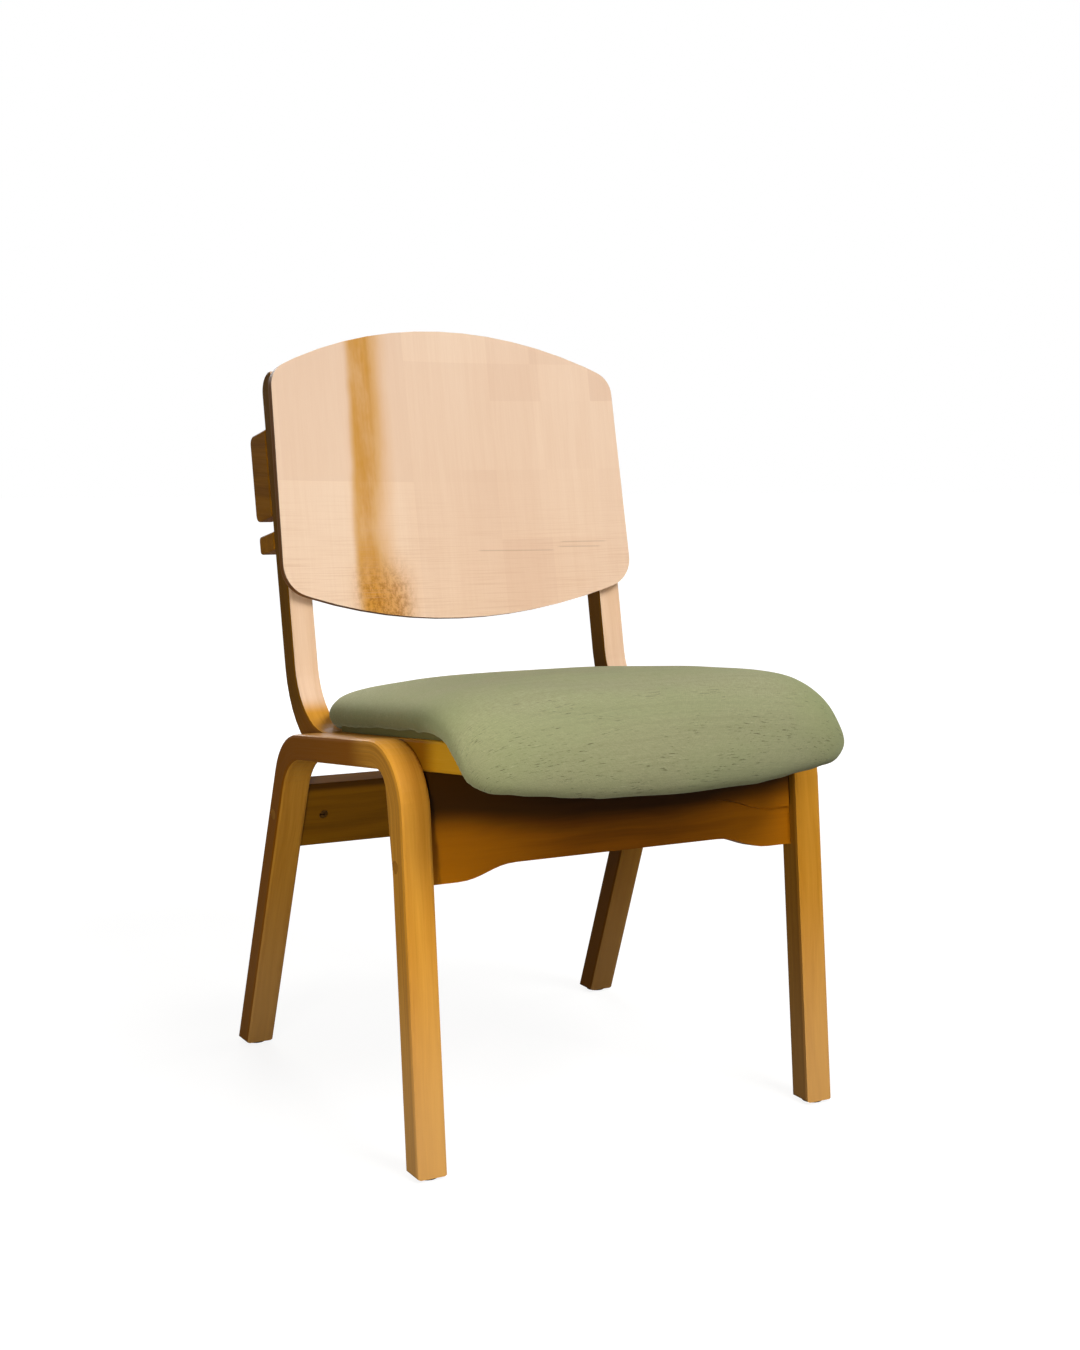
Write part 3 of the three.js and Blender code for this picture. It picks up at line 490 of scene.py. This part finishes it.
def post_figure(tree, colour, run, depth, breadth, tone):
    """The rail and the bend are honey coloured, and the post above them is paler. Their side faces are
    deepened, partly the ply edge tone and partly painted shade.
    """
    y = position(tree)[1]
    edge_on = to_side(facing(tree)[0].size())
    edge_on = edge_on * ramp(y, FRONT_Y + 0.03, FRONT_Y + 0.07, 0.1, 0.96)
    honeyed = layered(
        tree, tinted(tree, tone, *HONEY),
        (ramp(y, FRONT_Y + 0.09, FRONT_Y + 0.05) * 0.6, HONEY_FRONT),
        # Painted shade, with the ply edge tone, on the side faces
        (edge_on, HONEY_SIDE_AND_SHADE),
    )
    return tinted(tree, ramp(run, 0.082, 0.056), colour, honeyed)


def leg_figure(tree, colour, run, depth, breadth, tone):
    """A leg is paler towards its foot. Its rail's top and side faces, and a little less the rear leg's, are
    deepened with painted shade, and the right frame is darker with painted shade, most of all its rear leg
    with the seat's painted shadow.
    """
    z = position(tree)[2]
    sideways, _, upwards = facing(tree)
    rail = ramp(run, 0.110, 0.165) * ramp(run, 0.60, 0.38, 0.88, 1.0)
    on_right = ramp(breadth, 0.10, 0.20)
    return layered(
        tree, colour,
        (ramp(z, 0.26, 0.02) * 0.45, FOOT_PALE),
        # Painted shade on the rail's top faces
        (ramp(upwards, 0.7, 0.9) * rail * 0.7, RAIL_TOP_PAINTED_SHADE),
        # Painted shade on the right frame, and the seat's painted shadow on its rear leg
        (on_right * ramp(z, 0.15, 0.35) * 0.4, RIGHT_FRAME_PAINTED_SHADE),
        (on_right * ramp(run, 0.36, 0.44) * 0.52, RIGHT_REAR_PAINTED_SHADOW),
        # Painted shade on the rail's side faces
        (rail * to_side(sideways.size()) * 0.97, RAIL_SIDE_PAINTED_SHADE),
    )


def board_figure(tree, colour, run, depth, breadth, tone):
    """The cover is turned over the edges of the seat board, down to its underside, in a tone darker than
    the cushion's: painted shade under the cushion.
    """
    # Painted shade: the turned cover is darker than the cushion under its overhang
    return tinted(tree, ramp(facing(tree)[2], -0.75, -0.55), colour, TURNED_COVER_IN_SHADE)


def rail_figure(tree, colour, run, depth, breadth, tone):
    """The front rails get painted light towards their ends, more at the left, and painted shade upwards
    under the seat.
    """
    x, y, z = position(tree)
    way, rise = seat_frame(y, z)
    ends = ramp(x.size(), 0.04, 0.20)
    wander = noisy(tree, (x * 9.0, rise * 30.0, 2.0), 2.0)
    # How far the seat's painted shade reaches up the front faces
    shade = ramp(rise + wander * 0.010 - ends * 0.014, -0.112, -0.076) * (-way).above(0.0)
    return layered(
        tree, colour,
        # Painted light towards the ends, more at the left
        (ends * ramp(x, -0.1, 0.1, 0.65, 0.45), RAIL_END_PAINTED_LIGHT),
        # Painted shade of the seat over the upper part
        (shade * 0.92, SEAT_PAINTED_SHADE),
    )


def rear_figure(tree, colour, run, depth, breadth, tone):
    """The seat's painted shadow: under the seat the front of the rear rail darkens towards its top."""
    z = position(tree)[2]
    # Painted shadow of the seat along the top of the rear rail's front
    strip = ramp(z, REAR_RAIL_TOP - 0.017, REAR_RAIL_TOP - 0.010) * ramp(facing(tree)[1], -0.3, -0.6)
    return tinted(tree, strip * 0.75, colour, REAR_PAINTED_SHADOW)


# Metal, nylon and cloth


def plated(name, bright, dull, scale, detail, rough, metallic, gloss, strength):
    """Plated metal with a fine speckle in its tone and its gloss."""
    made, tree, shader = material(name)
    x, y, z = position(tree)
    speckle = noisy(tree, (x * scale, y * scale, z * scale), detail, rough)
    connect(tree, shader.inputs["Base Color"], tinted(tree, ramp(speckle, 0.3, 0.7), bright, dull))
    shader.inputs["Metallic"].default_value = metallic
    connect(tree, shader.inputs["Roughness"], ramp(speckle, 0.2, 0.8, *gloss))
    bumped(tree, shader, speckle, strength, 0.0001)
    return made


def nylon_material():
    """Black moulded nylon with scuffs."""
    made, tree, shader = material("moulded_nylon")
    x, y, z = position(tree)
    skin = noisy(tree, (x * 1400.0, y * 1400.0, z * 1400.0), 2.0)
    scuff = noisy(tree, (x * 160.0, y * 160.0, z * 300.0), 4.0, 0.7)
    colour = tinted(tree, ramp(scuff, 0.5, 0.8), srgb(40, 38, 35), srgb(74, 70, 64))
    connect(tree, shader.inputs["Base Color"], colour)
    connect(tree, shader.inputs["Roughness"], ramp(scuff, 0.2, 0.8, 0.45, 0.7))
    bumped(tree, shader, skin, 0.25, 0.0001)
    return made


YARN_PALE = srgb(182, 181, 145)
YARN_DEEP = srgb(126, 128, 92)
YARN_PATCH = srgb(146, 156, 112)
# Sides of the cushion tinted darker and greener: painted shade
SIDE_PAINTED_SHADE = srgb(138, 148, 94)
BRUSHED = srgb(128, 130, 96)
# Low edge of the cushion's sides darkened: painted shadow where it meets the frame
LOW_EDGE_PAINTED_SHADOW = srgb(66, 68, 32)
# The front roll darker than the top: painted shade
ROLL_PAINTED_SHADE = srgb(118, 119, 86)
FLECK_DARK = srgb(78, 76, 52)
FLECK_PALE = srgb(196, 194, 166)
BLOOM = srgb(214, 216, 186)
# Yarns: how fast their phase runs, and the radius that the weave follows round the front
YARN_PHASE = 4200.0
WEAVE_RADIUS = ROLL_RADIUS + 0.045


def cloth_material():
    """Closely woven upholstery: warp and weft with slubs, heather tones, flecks and a soft bloom, with
    painted shade on the sides, along their low edge and over the front roll.
    """
    made, tree, shader = material("woven_upholstery")
    x, y, z = position(tree)
    way, rise = seat_frame(y, z)
    outward = x.size()
    # Round the front the weave runs on with the angle, and down the sides with the height
    past = -(way - ROLL_AT)
    on_roll = past.above(0.0)
    angle = past.math("ARCTAN2", rise + ROLL_RADIUS)
    along = choose(on_roll, angle * WEAVE_RADIUS - ROLL_AT, -way)
    across = x - x.math("SIGN") * rise
    yarn = noisy(tree, (across * 40.0, along * 40.0, 1.0), 2.0)
    warp = (across * YARN_PHASE + yarn * 3.0).math("SINE")
    weft = (along * YARN_PHASE + yarn * 3.0).math("SINE")
    weave = warp * weft * 0.5 + 0.5
    slub = noisy(tree, (across * 110.0, along * 900.0, 4.0), 4.0, 0.65)
    slub_up = noisy(tree, (across * 900.0, along * 130.0, 8.0), 4.0, 0.65)
    dash = noisy(tree, (across * 85.0, along * 520.0, 12.0), 3.0, 0.55)
    worn = noisy(tree, (across * 16.0, along * 22.0, 14.0), 3.0, 0.6)
    fuzz = noisy(tree, (x * 1000.0, y * 1000.0, z * 1000.0), 4.0, 0.7)
    patch = noisy(tree, (across * 7.0, along * 11.0, 2.0), 4.0, 0.6)
    brushed = noisy(tree, (across * 4.0, along * 160.0, 21.0), 4.0, 0.6)
    tone = weave * 0.1 + ramp(slub, 0.3, 0.7) * 0.34 + ramp(slub_up, 0.3, 0.7) * 0.24
    tone = tone + ramp(fuzz, 0.3, 0.7) * 0.3
    # Painted shade on the cushion's sides, stronger on the right
    green = ramp(outward, 0.12, 0.23) * ramp(x, -0.1, 0.1, 0.2, 0.55)
    brushed = ramp(brushed, 0.42, 0.68) * ramp(outward, 0.19, 0.12)
    # Painted shadow along the low edge of the cushion's sides, where it meets the frame
    low = ramp(rise, 0.038, 0.008) * ramp(outward, 0.165, 0.195)
    low = low * ramp(way, ROLL_AT + 0.02, ROLL_AT + 0.09)
    on_front = ramp(angle, -0.2, 0.5, 0.25, 1.0) * on_roll.most(0.25)
    fleck = ramp(dash, 0.59, 0.65) * ramp(worn, 0.42, 0.58) * on_front
    pale = ramp(dash, 0.36, 0.30) * ramp(worn, 0.45, 0.65)
    colour = layered(
        tree, tinted(tree, tone.least(1.0), YARN_PALE, YARN_DEEP),
        (ramp(patch, 0.36, 0.66) * 0.4, YARN_PATCH),
        # Painted shade on the sides
        (green, SIDE_PAINTED_SHADE),
        (brushed * 0.25, BRUSHED),
        # Painted shadow along the low edge
        (low * 0.66, LOW_EDGE_PAINTED_SHADOW),
        # Painted shade over the front roll
        (ramp(angle, -0.1, 0.8) * on_roll * 0.35, ROLL_PAINTED_SHADE),
        (fleck * 0.75, FLECK_DARK),
        (pale * 0.35, FLECK_PALE),
    )
    connect(tree, shader.inputs["Base Color"], colour)
    shader.inputs["Roughness"].default_value = 0.93
    shader.inputs["Sheen Weight"].default_value = 0.3
    shader.inputs["Sheen Roughness"].default_value = 0.5
    shader.inputs["Sheen Tint"].default_value = (*BLOOM, 1.0)
    shader.inputs["Specular IOR Level"].default_value = 0.12
    height = weave * 0.5 + slub * 0.7 + slub_up * 0.5 + fuzz * 0.3 - fleck * 0.8
    bumped(tree, shader, height, 0.5, 0.0005)
    return made


# Materials on the solids

legs = dict(
    streaks=0.45, layers=PLY_THICKNESS, figure=leg_figure, edge=0.15, inner=0.6, shine=0.07, coat=0.03,
)
leg_left = wood("leg_lamination_left", leg_grain, *HONEY, seed=1.7, **legs)
leg_right = wood("leg_lamination_right", leg_grain, *HONEY, seed=8.3, **legs)

post_tones = (srgb(239, 206, 178), srgb(220, 179, 141))
posts = dict(
    streaks=0.4, layers=PLY_THICKNESS, figure=post_figure, edge=1.0, inner=0.5, shine=0.07, coat=0.02,
)
post_left = wood("post_lamination_left", member_grain, *post_tones, seed=4.1, **posts)
post_right = wood("post_lamination_right", member_grain, *post_tones, seed=6.6, **posts)

back_tones = (srgb(245, 217, 192), srgb(231, 195, 166))
back = wood(
    "pale_back_veneer", up_grain, *back_tones, seed=2.2, streaks=0.16, pores=0.3, shine=0.12, coat=0.03,
    figure=back_figure,
)

amber = (srgb(154, 90, 4), srgb(106, 58, 2))
rails = dict(shine=0.1, coat=0.02)
apron = wood("amber_apron", across_grain, *amber, seed=3.4, figure=rail_figure, **rails)
upper = wood("amber_upper_rail", across_grain, *amber, seed=3.4, figure=rail_figure, **rails)
rear_tones = (srgb(154, 102, 9), srgb(116, 74, 5))
rear = wood("amber_rear_rail", across_grain, *rear_tones, seed=5.9, figure=rear_figure, **rails)

board_tones = (srgb(205, 172, 122), srgb(165, 125, 76))
board = wood("seat_plywood", front_grain, *board_tones, seed=7.1, gloss=0.6, figure=board_figure)

rack_tones = (srgb(188, 124, 20), srgb(136, 84, 8))
racks = dict(shine=0.08, coat=0.01)
rack = wood("rack_wood", across_grain, *rack_tones, seed=2.9, **racks)
cheek = wood("rack_cheek_wood", front_grain, *rack_tones, seed=4.4, **racks)

plug_tones = (srgb(172, 114, 24), srgb(136, 86, 12))
plug = wood("plug_wood", across_grain, *plug_tones, seed=0.6, shine=0.12, coat=0.04)

steel = plated(
    "zinc_plated_steel", srgb(168, 168, 164), srgb(128, 127, 122), scale=900.0, detail=3.0, rough=0.6,
    metallic=1.0, gloss=(0.26, 0.44), strength=0.1,
)
brassy = plated(
    "yellow_zinc_plate", srgb(140, 98, 42), srgb(74, 48, 18), scale=260.0, detail=4.0, rough=0.7,
    metallic=0.85, gloss=(0.34, 0.6), strength=0.15,
)
nylon = nylon_material()
cloth = cloth_material()

looks = {
    "leg_frame_left": leg_left,
    "leg_frame_right": leg_right,
    "side_member_left": post_left,
    "side_member_right": post_right,
    "back_panel": back,
    "front_apron": apron,
    "front_seat_rail": upper,
    "rear_rail": rear,
    "seat_board": board,
    "seat_cushion": cloth,
}
# For the other pieces, the first of these words that a name holds
kinds = (
    ("rack_cheek", cheek),
    ("rack", rack),
    ("plug", plug),
    ("foot_glide", nylon),
    ("barrel_nut", brassy),
)


def look_of(name):
    if name in looks:
        return looks[name]
    for words, look in kinds:
        if words in name:
            return look
    return steel


SHARP_ANGLE = math.radians(52)
NORMAL_WEIGHT = 80

for name, obj in nodes.items():
    for slot in obj.material_slots:
        slot.material = look_of(name)
    if name != "seat_cushion":
        obj.data.shade_smooth()
        obj.data.set_sharp_from_angle(angle=SHARP_ANGLE)
        even = obj.modifiers.new("even_normals", "WEIGHTED_NORMAL")
        even.keep_sharp = True
        even.weight = NORMAL_WEIGHT


# The cushion: cloth blown up over the foam, then its hem

# The edge length of the skin that is simulated and of the one that is kept
TRIAL_SKIN = 0.0056
KEPT_SKIN = 0.0034
# Places closer than this are one, in the solid and in the skin that is simulated
SAME_PLACE = 0.00001
TRIAL_JOIN = 0.0006
# How wide a ridge is smoothed away, and how much wider its lost volume is spread
RIDGE_WIDTH = 0.0265
VOLUME_SPREAD = 1.8
# From where to where away from the wood the cover gets free, and its hem round
FREE_FROM, FREE_AT = 0.007, 0.026
HEM_FROM, HEM_AT = 0.003, 0.010
# The cover starts a little inside, and ends at most this far inside or outside the form
STARTS_INSIDE = 0.0025
MOST_INSIDE = -0.0002
MOST_OUTSIDE = 0.0008
LAST_FRAME = 16
# Where the cover is less free than this, it is held at the solid's own skin and gets a hem
HELD_BELOW = 0.999
# How many rounds of averages soften each of these
FREEDOM_ROUNDS = 6
SWELLING_ROUNDS = 40
HEM_ROUNDS = 3
HEM_SHAPE_ROUNDS = 14


def applied(obj):
    """Replaces the mesh by what its modifiers make of it."""
    graph = bpy.context.evaluated_depsgraph_get()
    mesh = bpy.data.meshes.new_from_object(obj.evaluated_get(graph))
    obj.modifiers.clear()
    obj.data = mesh


def merged(obj, distance):
    work = bmesh.new()
    work.from_mesh(obj.data)
    bmesh.ops.remove_doubles(work, verts=work.verts, dist=distance)
    work.to_mesh(obj.data)
    work.free()


def spread(values, edges, rounds):
    """Averages a value with its neighbours, over and over."""
    count = numpy.bincount(edges.ravel(), minlength=len(values)).astype(float)
    columns = values.reshape(len(values), -1).T.copy()
    for _ in range(rounds):
        for column in columns:
            total = numpy.bincount(edges[:, 0], weights=column[edges[:, 1]], minlength=len(column))
            total += numpy.bincount(edges[:, 1], weights=column[edges[:, 0]], minlength=len(column))
            column += total / numpy.maximum(count, 1)
            column /= 2
    return columns.T.reshape(values.shape)


def places_of(mesh):
    flat = numpy.empty(len(mesh.vertices) * 3, dtype=numpy.float64)
    mesh.vertices.foreach_get("co", flat)
    return flat.reshape(-1, 3)


def normals_of(mesh):
    return numpy.array([tuple(v.normal) for v in mesh.vertices])


def edges_of(mesh):
    return numpy.array([tuple(e.vertices) for e in mesh.edges])


def put_at(mesh, places):
    mesh.vertices.foreach_set("co", places.ravel())
    mesh.update()


def steps(value, low, high):
    return numpy.clip((value - low) / (high - low), 0.0, 1.0)


def tree_of(*objects):
    """One search tree over the faces of some pieces."""
    points = []
    faces = []
    for obj in objects:
        first = len(points)
        points += [v.co.copy() for v in obj.data.vertices]
        faces += [tuple(first + k for k in p.vertices) for p in obj.data.polygons]
    return BVHTree.FromPolygons(points, faces)


def distances(tree, places):
    return numpy.array([tree.find_nearest(point)[3] for point in places])


def even_skin(solid, name, size):
    """A closed skin of even faces over a solid, with its ridges smoothed away and its volume kept."""
    made = bpy.data.objects.new(name, solid.data.copy())
    scene.collection.objects.link(made)
    made.matrix_world = solid.matrix_world
    merged(made, SAME_PLACE)
    remesh = made.modifiers.new("remesh", "REMESH")
    remesh.mode = "VOXEL"
    remesh.voxel_size = size
    applied(made)
    mesh = made.data
    edges = edges_of(mesh)
    rough = places_of(mesh)
    reach = (RIDGE_WIDTH / size) ** 2
    form = spread(rough, edges, round(reach))
    put_at(mesh, form)
    normals = normals_of(mesh)
    shrunk = ((rough - form) * normals).sum(axis=1)
    put_at(mesh, form + normals * spread(shrunk, edges, round(reach * VOLUME_SPREAD))[:, None])
    return made


def freedom(mesh, wooden):
    """How free each place of the cover is: 0 against the wood, 1 clear of it."""
    away = distances(wooden, [v.co for v in mesh.vertices])
    return spread(steps(away, FREE_FROM, FREE_AT), edges_of(mesh), FREEDOM_ROUNDS)


def let_go(solid, wooden):
    """Presses a coarse cover out from inside, and gives where it lay and how far it went."""
    made = even_skin(solid, "cover_trial", TRIAL_SKIN)
    merged(made, TRIAL_JOIN)
    mesh = made.data
    form = places_of(mesh)
    normals = normals_of(mesh)
    free = freedom(mesh, wooden)
    put_at(mesh, form - normals * STARTS_INSIDE * free[:, None])
    group = made.vertex_groups.new(name="held")
    for index, share in enumerate(free):
        group.add([index], 1.0 - float(share), "REPLACE")
    settings = made.modifiers.new("cover", "CLOTH").settings
    settings.quality = 5
    settings.mass = 0.3
    settings.tension_stiffness = 20
    settings.compression_stiffness = 20
    settings.shear_stiffness = 10
    settings.bending_stiffness = 2.5
    settings.use_pressure = True
    settings.uniform_pressure_force = 3.4
    settings.vertex_group_mass = "held"
    settings.pin_stiffness = 4.0
    settings.effector_weights.gravity = 0.0
    for step in range(1, LAST_FRAME + 1):
        scene.frame_set(step)
    applied(made)
    scene.frame_set(1)
    out = ((places_of(made.data) - form) * normals).sum(axis=1)
    bpy.data.objects.remove(made)
    return form, out


def carried_over(places, values, to_places):
    """The value of the nearest place, for each of some other places."""
    near = KDTree(len(places))
    for index, point in enumerate(places):
        near.insert(point, index)
    near.balance()
    return numpy.array([values[near.find(point)[1]] for point in to_places])


def cushion_piece():
    """The cover is let go over the foam, and held where it lies against the wood."""
    solid = nodes["seat_cushion"]
    skin = tree_of(solid)
    carriers = ("side_member_left", "side_member_right", "leg_frame_left", "leg_frame_right", "seat_board")
    wooden = tree_of(*(nodes[name] for name in carriers))
    made = even_skin(solid, "padded_seat", KEPT_SKIN)
    mesh = made.data
    form = places_of(mesh)
    normals = normals_of(mesh)
    edges = edges_of(mesh)
    free = freedom(mesh, wooden)
    out = numpy.zeros(len(form))
    out = carried_over(*let_go(solid, wooden), form)
    out = spread(numpy.clip(out, MOST_INSIDE, MOST_OUTSIDE), edges, SWELLING_ROUNDS)
    shape = form + normals * (out * free)[:, None]
    # Near the wood the cover goes back to the solid's own skin
    for index in numpy.nonzero(free < HELD_BELOW)[0]:
        point = Vector(shape[index])
        border = skin.find_nearest(point)[0]
        shape[index] = point.lerp(border, 1.0 - float(free[index]))
    hem = steps(distances(wooden, shape), HEM_FROM, HEM_AT) * (free < HELD_BELOW)
    hem = spread(hem, edges, HEM_ROUNDS)
    shape += (spread(shape, edges, HEM_SHAPE_ROUNDS) - shape) * hem[:, None]
    put_at(mesh, shape)
    mesh.shade_smooth()
    return made


cushion = cushion_piece()
cushion.data.materials.clear()
cushion.data.materials.append(cloth)
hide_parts("seat_cushion")
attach(cushion, "root")


# Floor, light and camera

WHITE = (1.0, 1.0, 1.0)
FLOOR_HALF = 14.0
FLOOR_TONES = (srgb(126, 126, 126), srgb(122, 122, 121))


def floor_piece():
    """A floor that the camera sees nearly white, and that keeps the chair's shadow."""
    mesh = bpy.data.meshes.new("floor")
    signs = ((-1, -1), (1, -1), (1, 1), (-1, 1))
    corners = [(FLOOR_HALF * i, FLOOR_HALF * j, 0) for i, j in signs]
    mesh.from_pydata(corners, [], [(0, 1, 2, 3)])
    made = bpy.data.objects.new("floor", mesh)
    scene.collection.objects.link(made)
    pale, tree, shader = material("pale_floor")
    x, y, z = position(tree)
    grain = noisy(tree, (x * 3.0, y * 3.0, z))
    connect(tree, shader.inputs["Base Color"], tinted(tree, grain, *FLOOR_TONES))
    shader.inputs["Roughness"].default_value = 0.9
    shader.inputs["Specular IOR Level"].default_value = 0.0
    shader.inputs["Emission Color"].default_value = (*WHITE, 1.0)
    away = (x * x + y * y).math("SQRT")
    seen = Value(tree, tree.nodes.new("ShaderNodeLightPath").outputs["Is Camera Ray"])
    connect(tree, shader.inputs["Emission Strength"], ramp(away, 0.5, 2.2, 0.87, 1.0) * seen)
    mesh.materials.append(pale)


floor_piece()


def lamp(name, location, target, size, power, colour):
    data = bpy.data.lights.new(name, "AREA")
    data.shape = "RECTANGLE"
    data.size, data.size_y = size
    data.energy = power
    data.color = colour
    made = bpy.data.objects.new(name, data)
    scene.collection.objects.link(made)
    made.location = location
    made.rotation_euler = (Vector(target) - Vector(location)).to_track_quat("-Z", "Y").to_euler()
    return made


lamp("key", (0.7, -2.5, 3.3), (0.0, 0.0, 0.45), (1.8, 1.6), 118, (1.0, 0.985, 0.96))
lamp("front", (-0.4, -3.4, 1.1), (0.0, 0.0, 0.45), (2.0, 1.6), 5, (1.0, 0.99, 0.97))
lamp("behind", (0.5, 3.3, 1.5), (0.0, 0.2, 0.5), (2.0, 1.6), 58, WHITE)
lamp("beside", (3.4, 0.3, 0.9), (0.2, 0.0, 0.4), (1.6, 1.2), 26, WHITE)
near = lamp("near", (-1.15, -1.0, 0.55), (-0.22, -0.25, 0.33), (0.3, 0.3), 1.6, (1.0, 0.95, 0.82))
near.visible_camera = False
near.data.spread = math.radians(75)

AMBIENT = 0.16
BACKDROP_IN_GLOSS = 0.12

world = bpy.data.worlds.new("studio")
scene.world = world
world.use_nodes = True
tree = world.node_tree
tree.nodes.clear()
out = tree.nodes.new("ShaderNodeOutputWorld")
ambient = tree.nodes.new("ShaderNodeBackground")
ambient.inputs[0].default_value = (1.0, 0.99, 0.97, 1.0)
ambient.inputs[1].default_value = AMBIENT
backdrop = tree.nodes.new("ShaderNodeBackground")
backdrop.inputs[0].default_value = (*WHITE, 1.0)
backdrop.inputs[1].default_value = 1.0
path = tree.nodes.new("ShaderNodeLightPath")
seen = Value(tree, path.outputs["Is Camera Ray"])
seen = seen.most(Value(tree, path.outputs["Is Glossy Ray"]) * BACKDROP_IN_GLOSS)
seen = seen.most(Value(tree, path.outputs["Is Transmission Ray"]))
mix = tree.nodes.new("ShaderNodeMixShader")
tree.links.new(seen.socket, mix.inputs[0])
tree.links.new(ambient.outputs[0], mix.inputs[1])
tree.links.new(backdrop.outputs[0], mix.inputs[2])
tree.links.new(mix.outputs[0], out.inputs[0])

# The camera solved from the photograph's edges
YAW = math.radians(29.59)
PITCH = math.radians(7.68)
ROLL = math.radians(0.95)
FOCAL_PIXELS = 1911.1
PHOTO_HEIGHT = 1350
SENSOR = 36.0
CAMERA_AT = (-1.0210, -1.8222 + MIDDLE_Y, 0.7326)

ahead = Vector((math.sin(YAW) * math.cos(PITCH), math.cos(YAW) * math.cos(PITCH), -math.sin(PITCH)))
level = Vector((math.cos(YAW), -math.sin(YAW), 0.0))
upward = level.cross(ahead)
right = level * math.cos(ROLL) + upward * math.sin(ROLL)
top = upward * math.cos(ROLL) - level * math.sin(ROLL)
lens = bpy.data.cameras.new("camera")
lens.sensor_width = SENSOR
lens.lens = FOCAL_PIXELS / PHOTO_HEIGHT * SENSOR
lens.clip_end = 60.0
camera = bpy.data.objects.new("camera", lens)
scene.collection.objects.link(camera)
turned = Matrix((right, top, -ahead)).transposed().to_4x4()
turned.translation = Vector(CAMERA_AT)
camera.matrix_world = turned
scene.camera = camera
scene.view_settings.view_transform = "Standard"
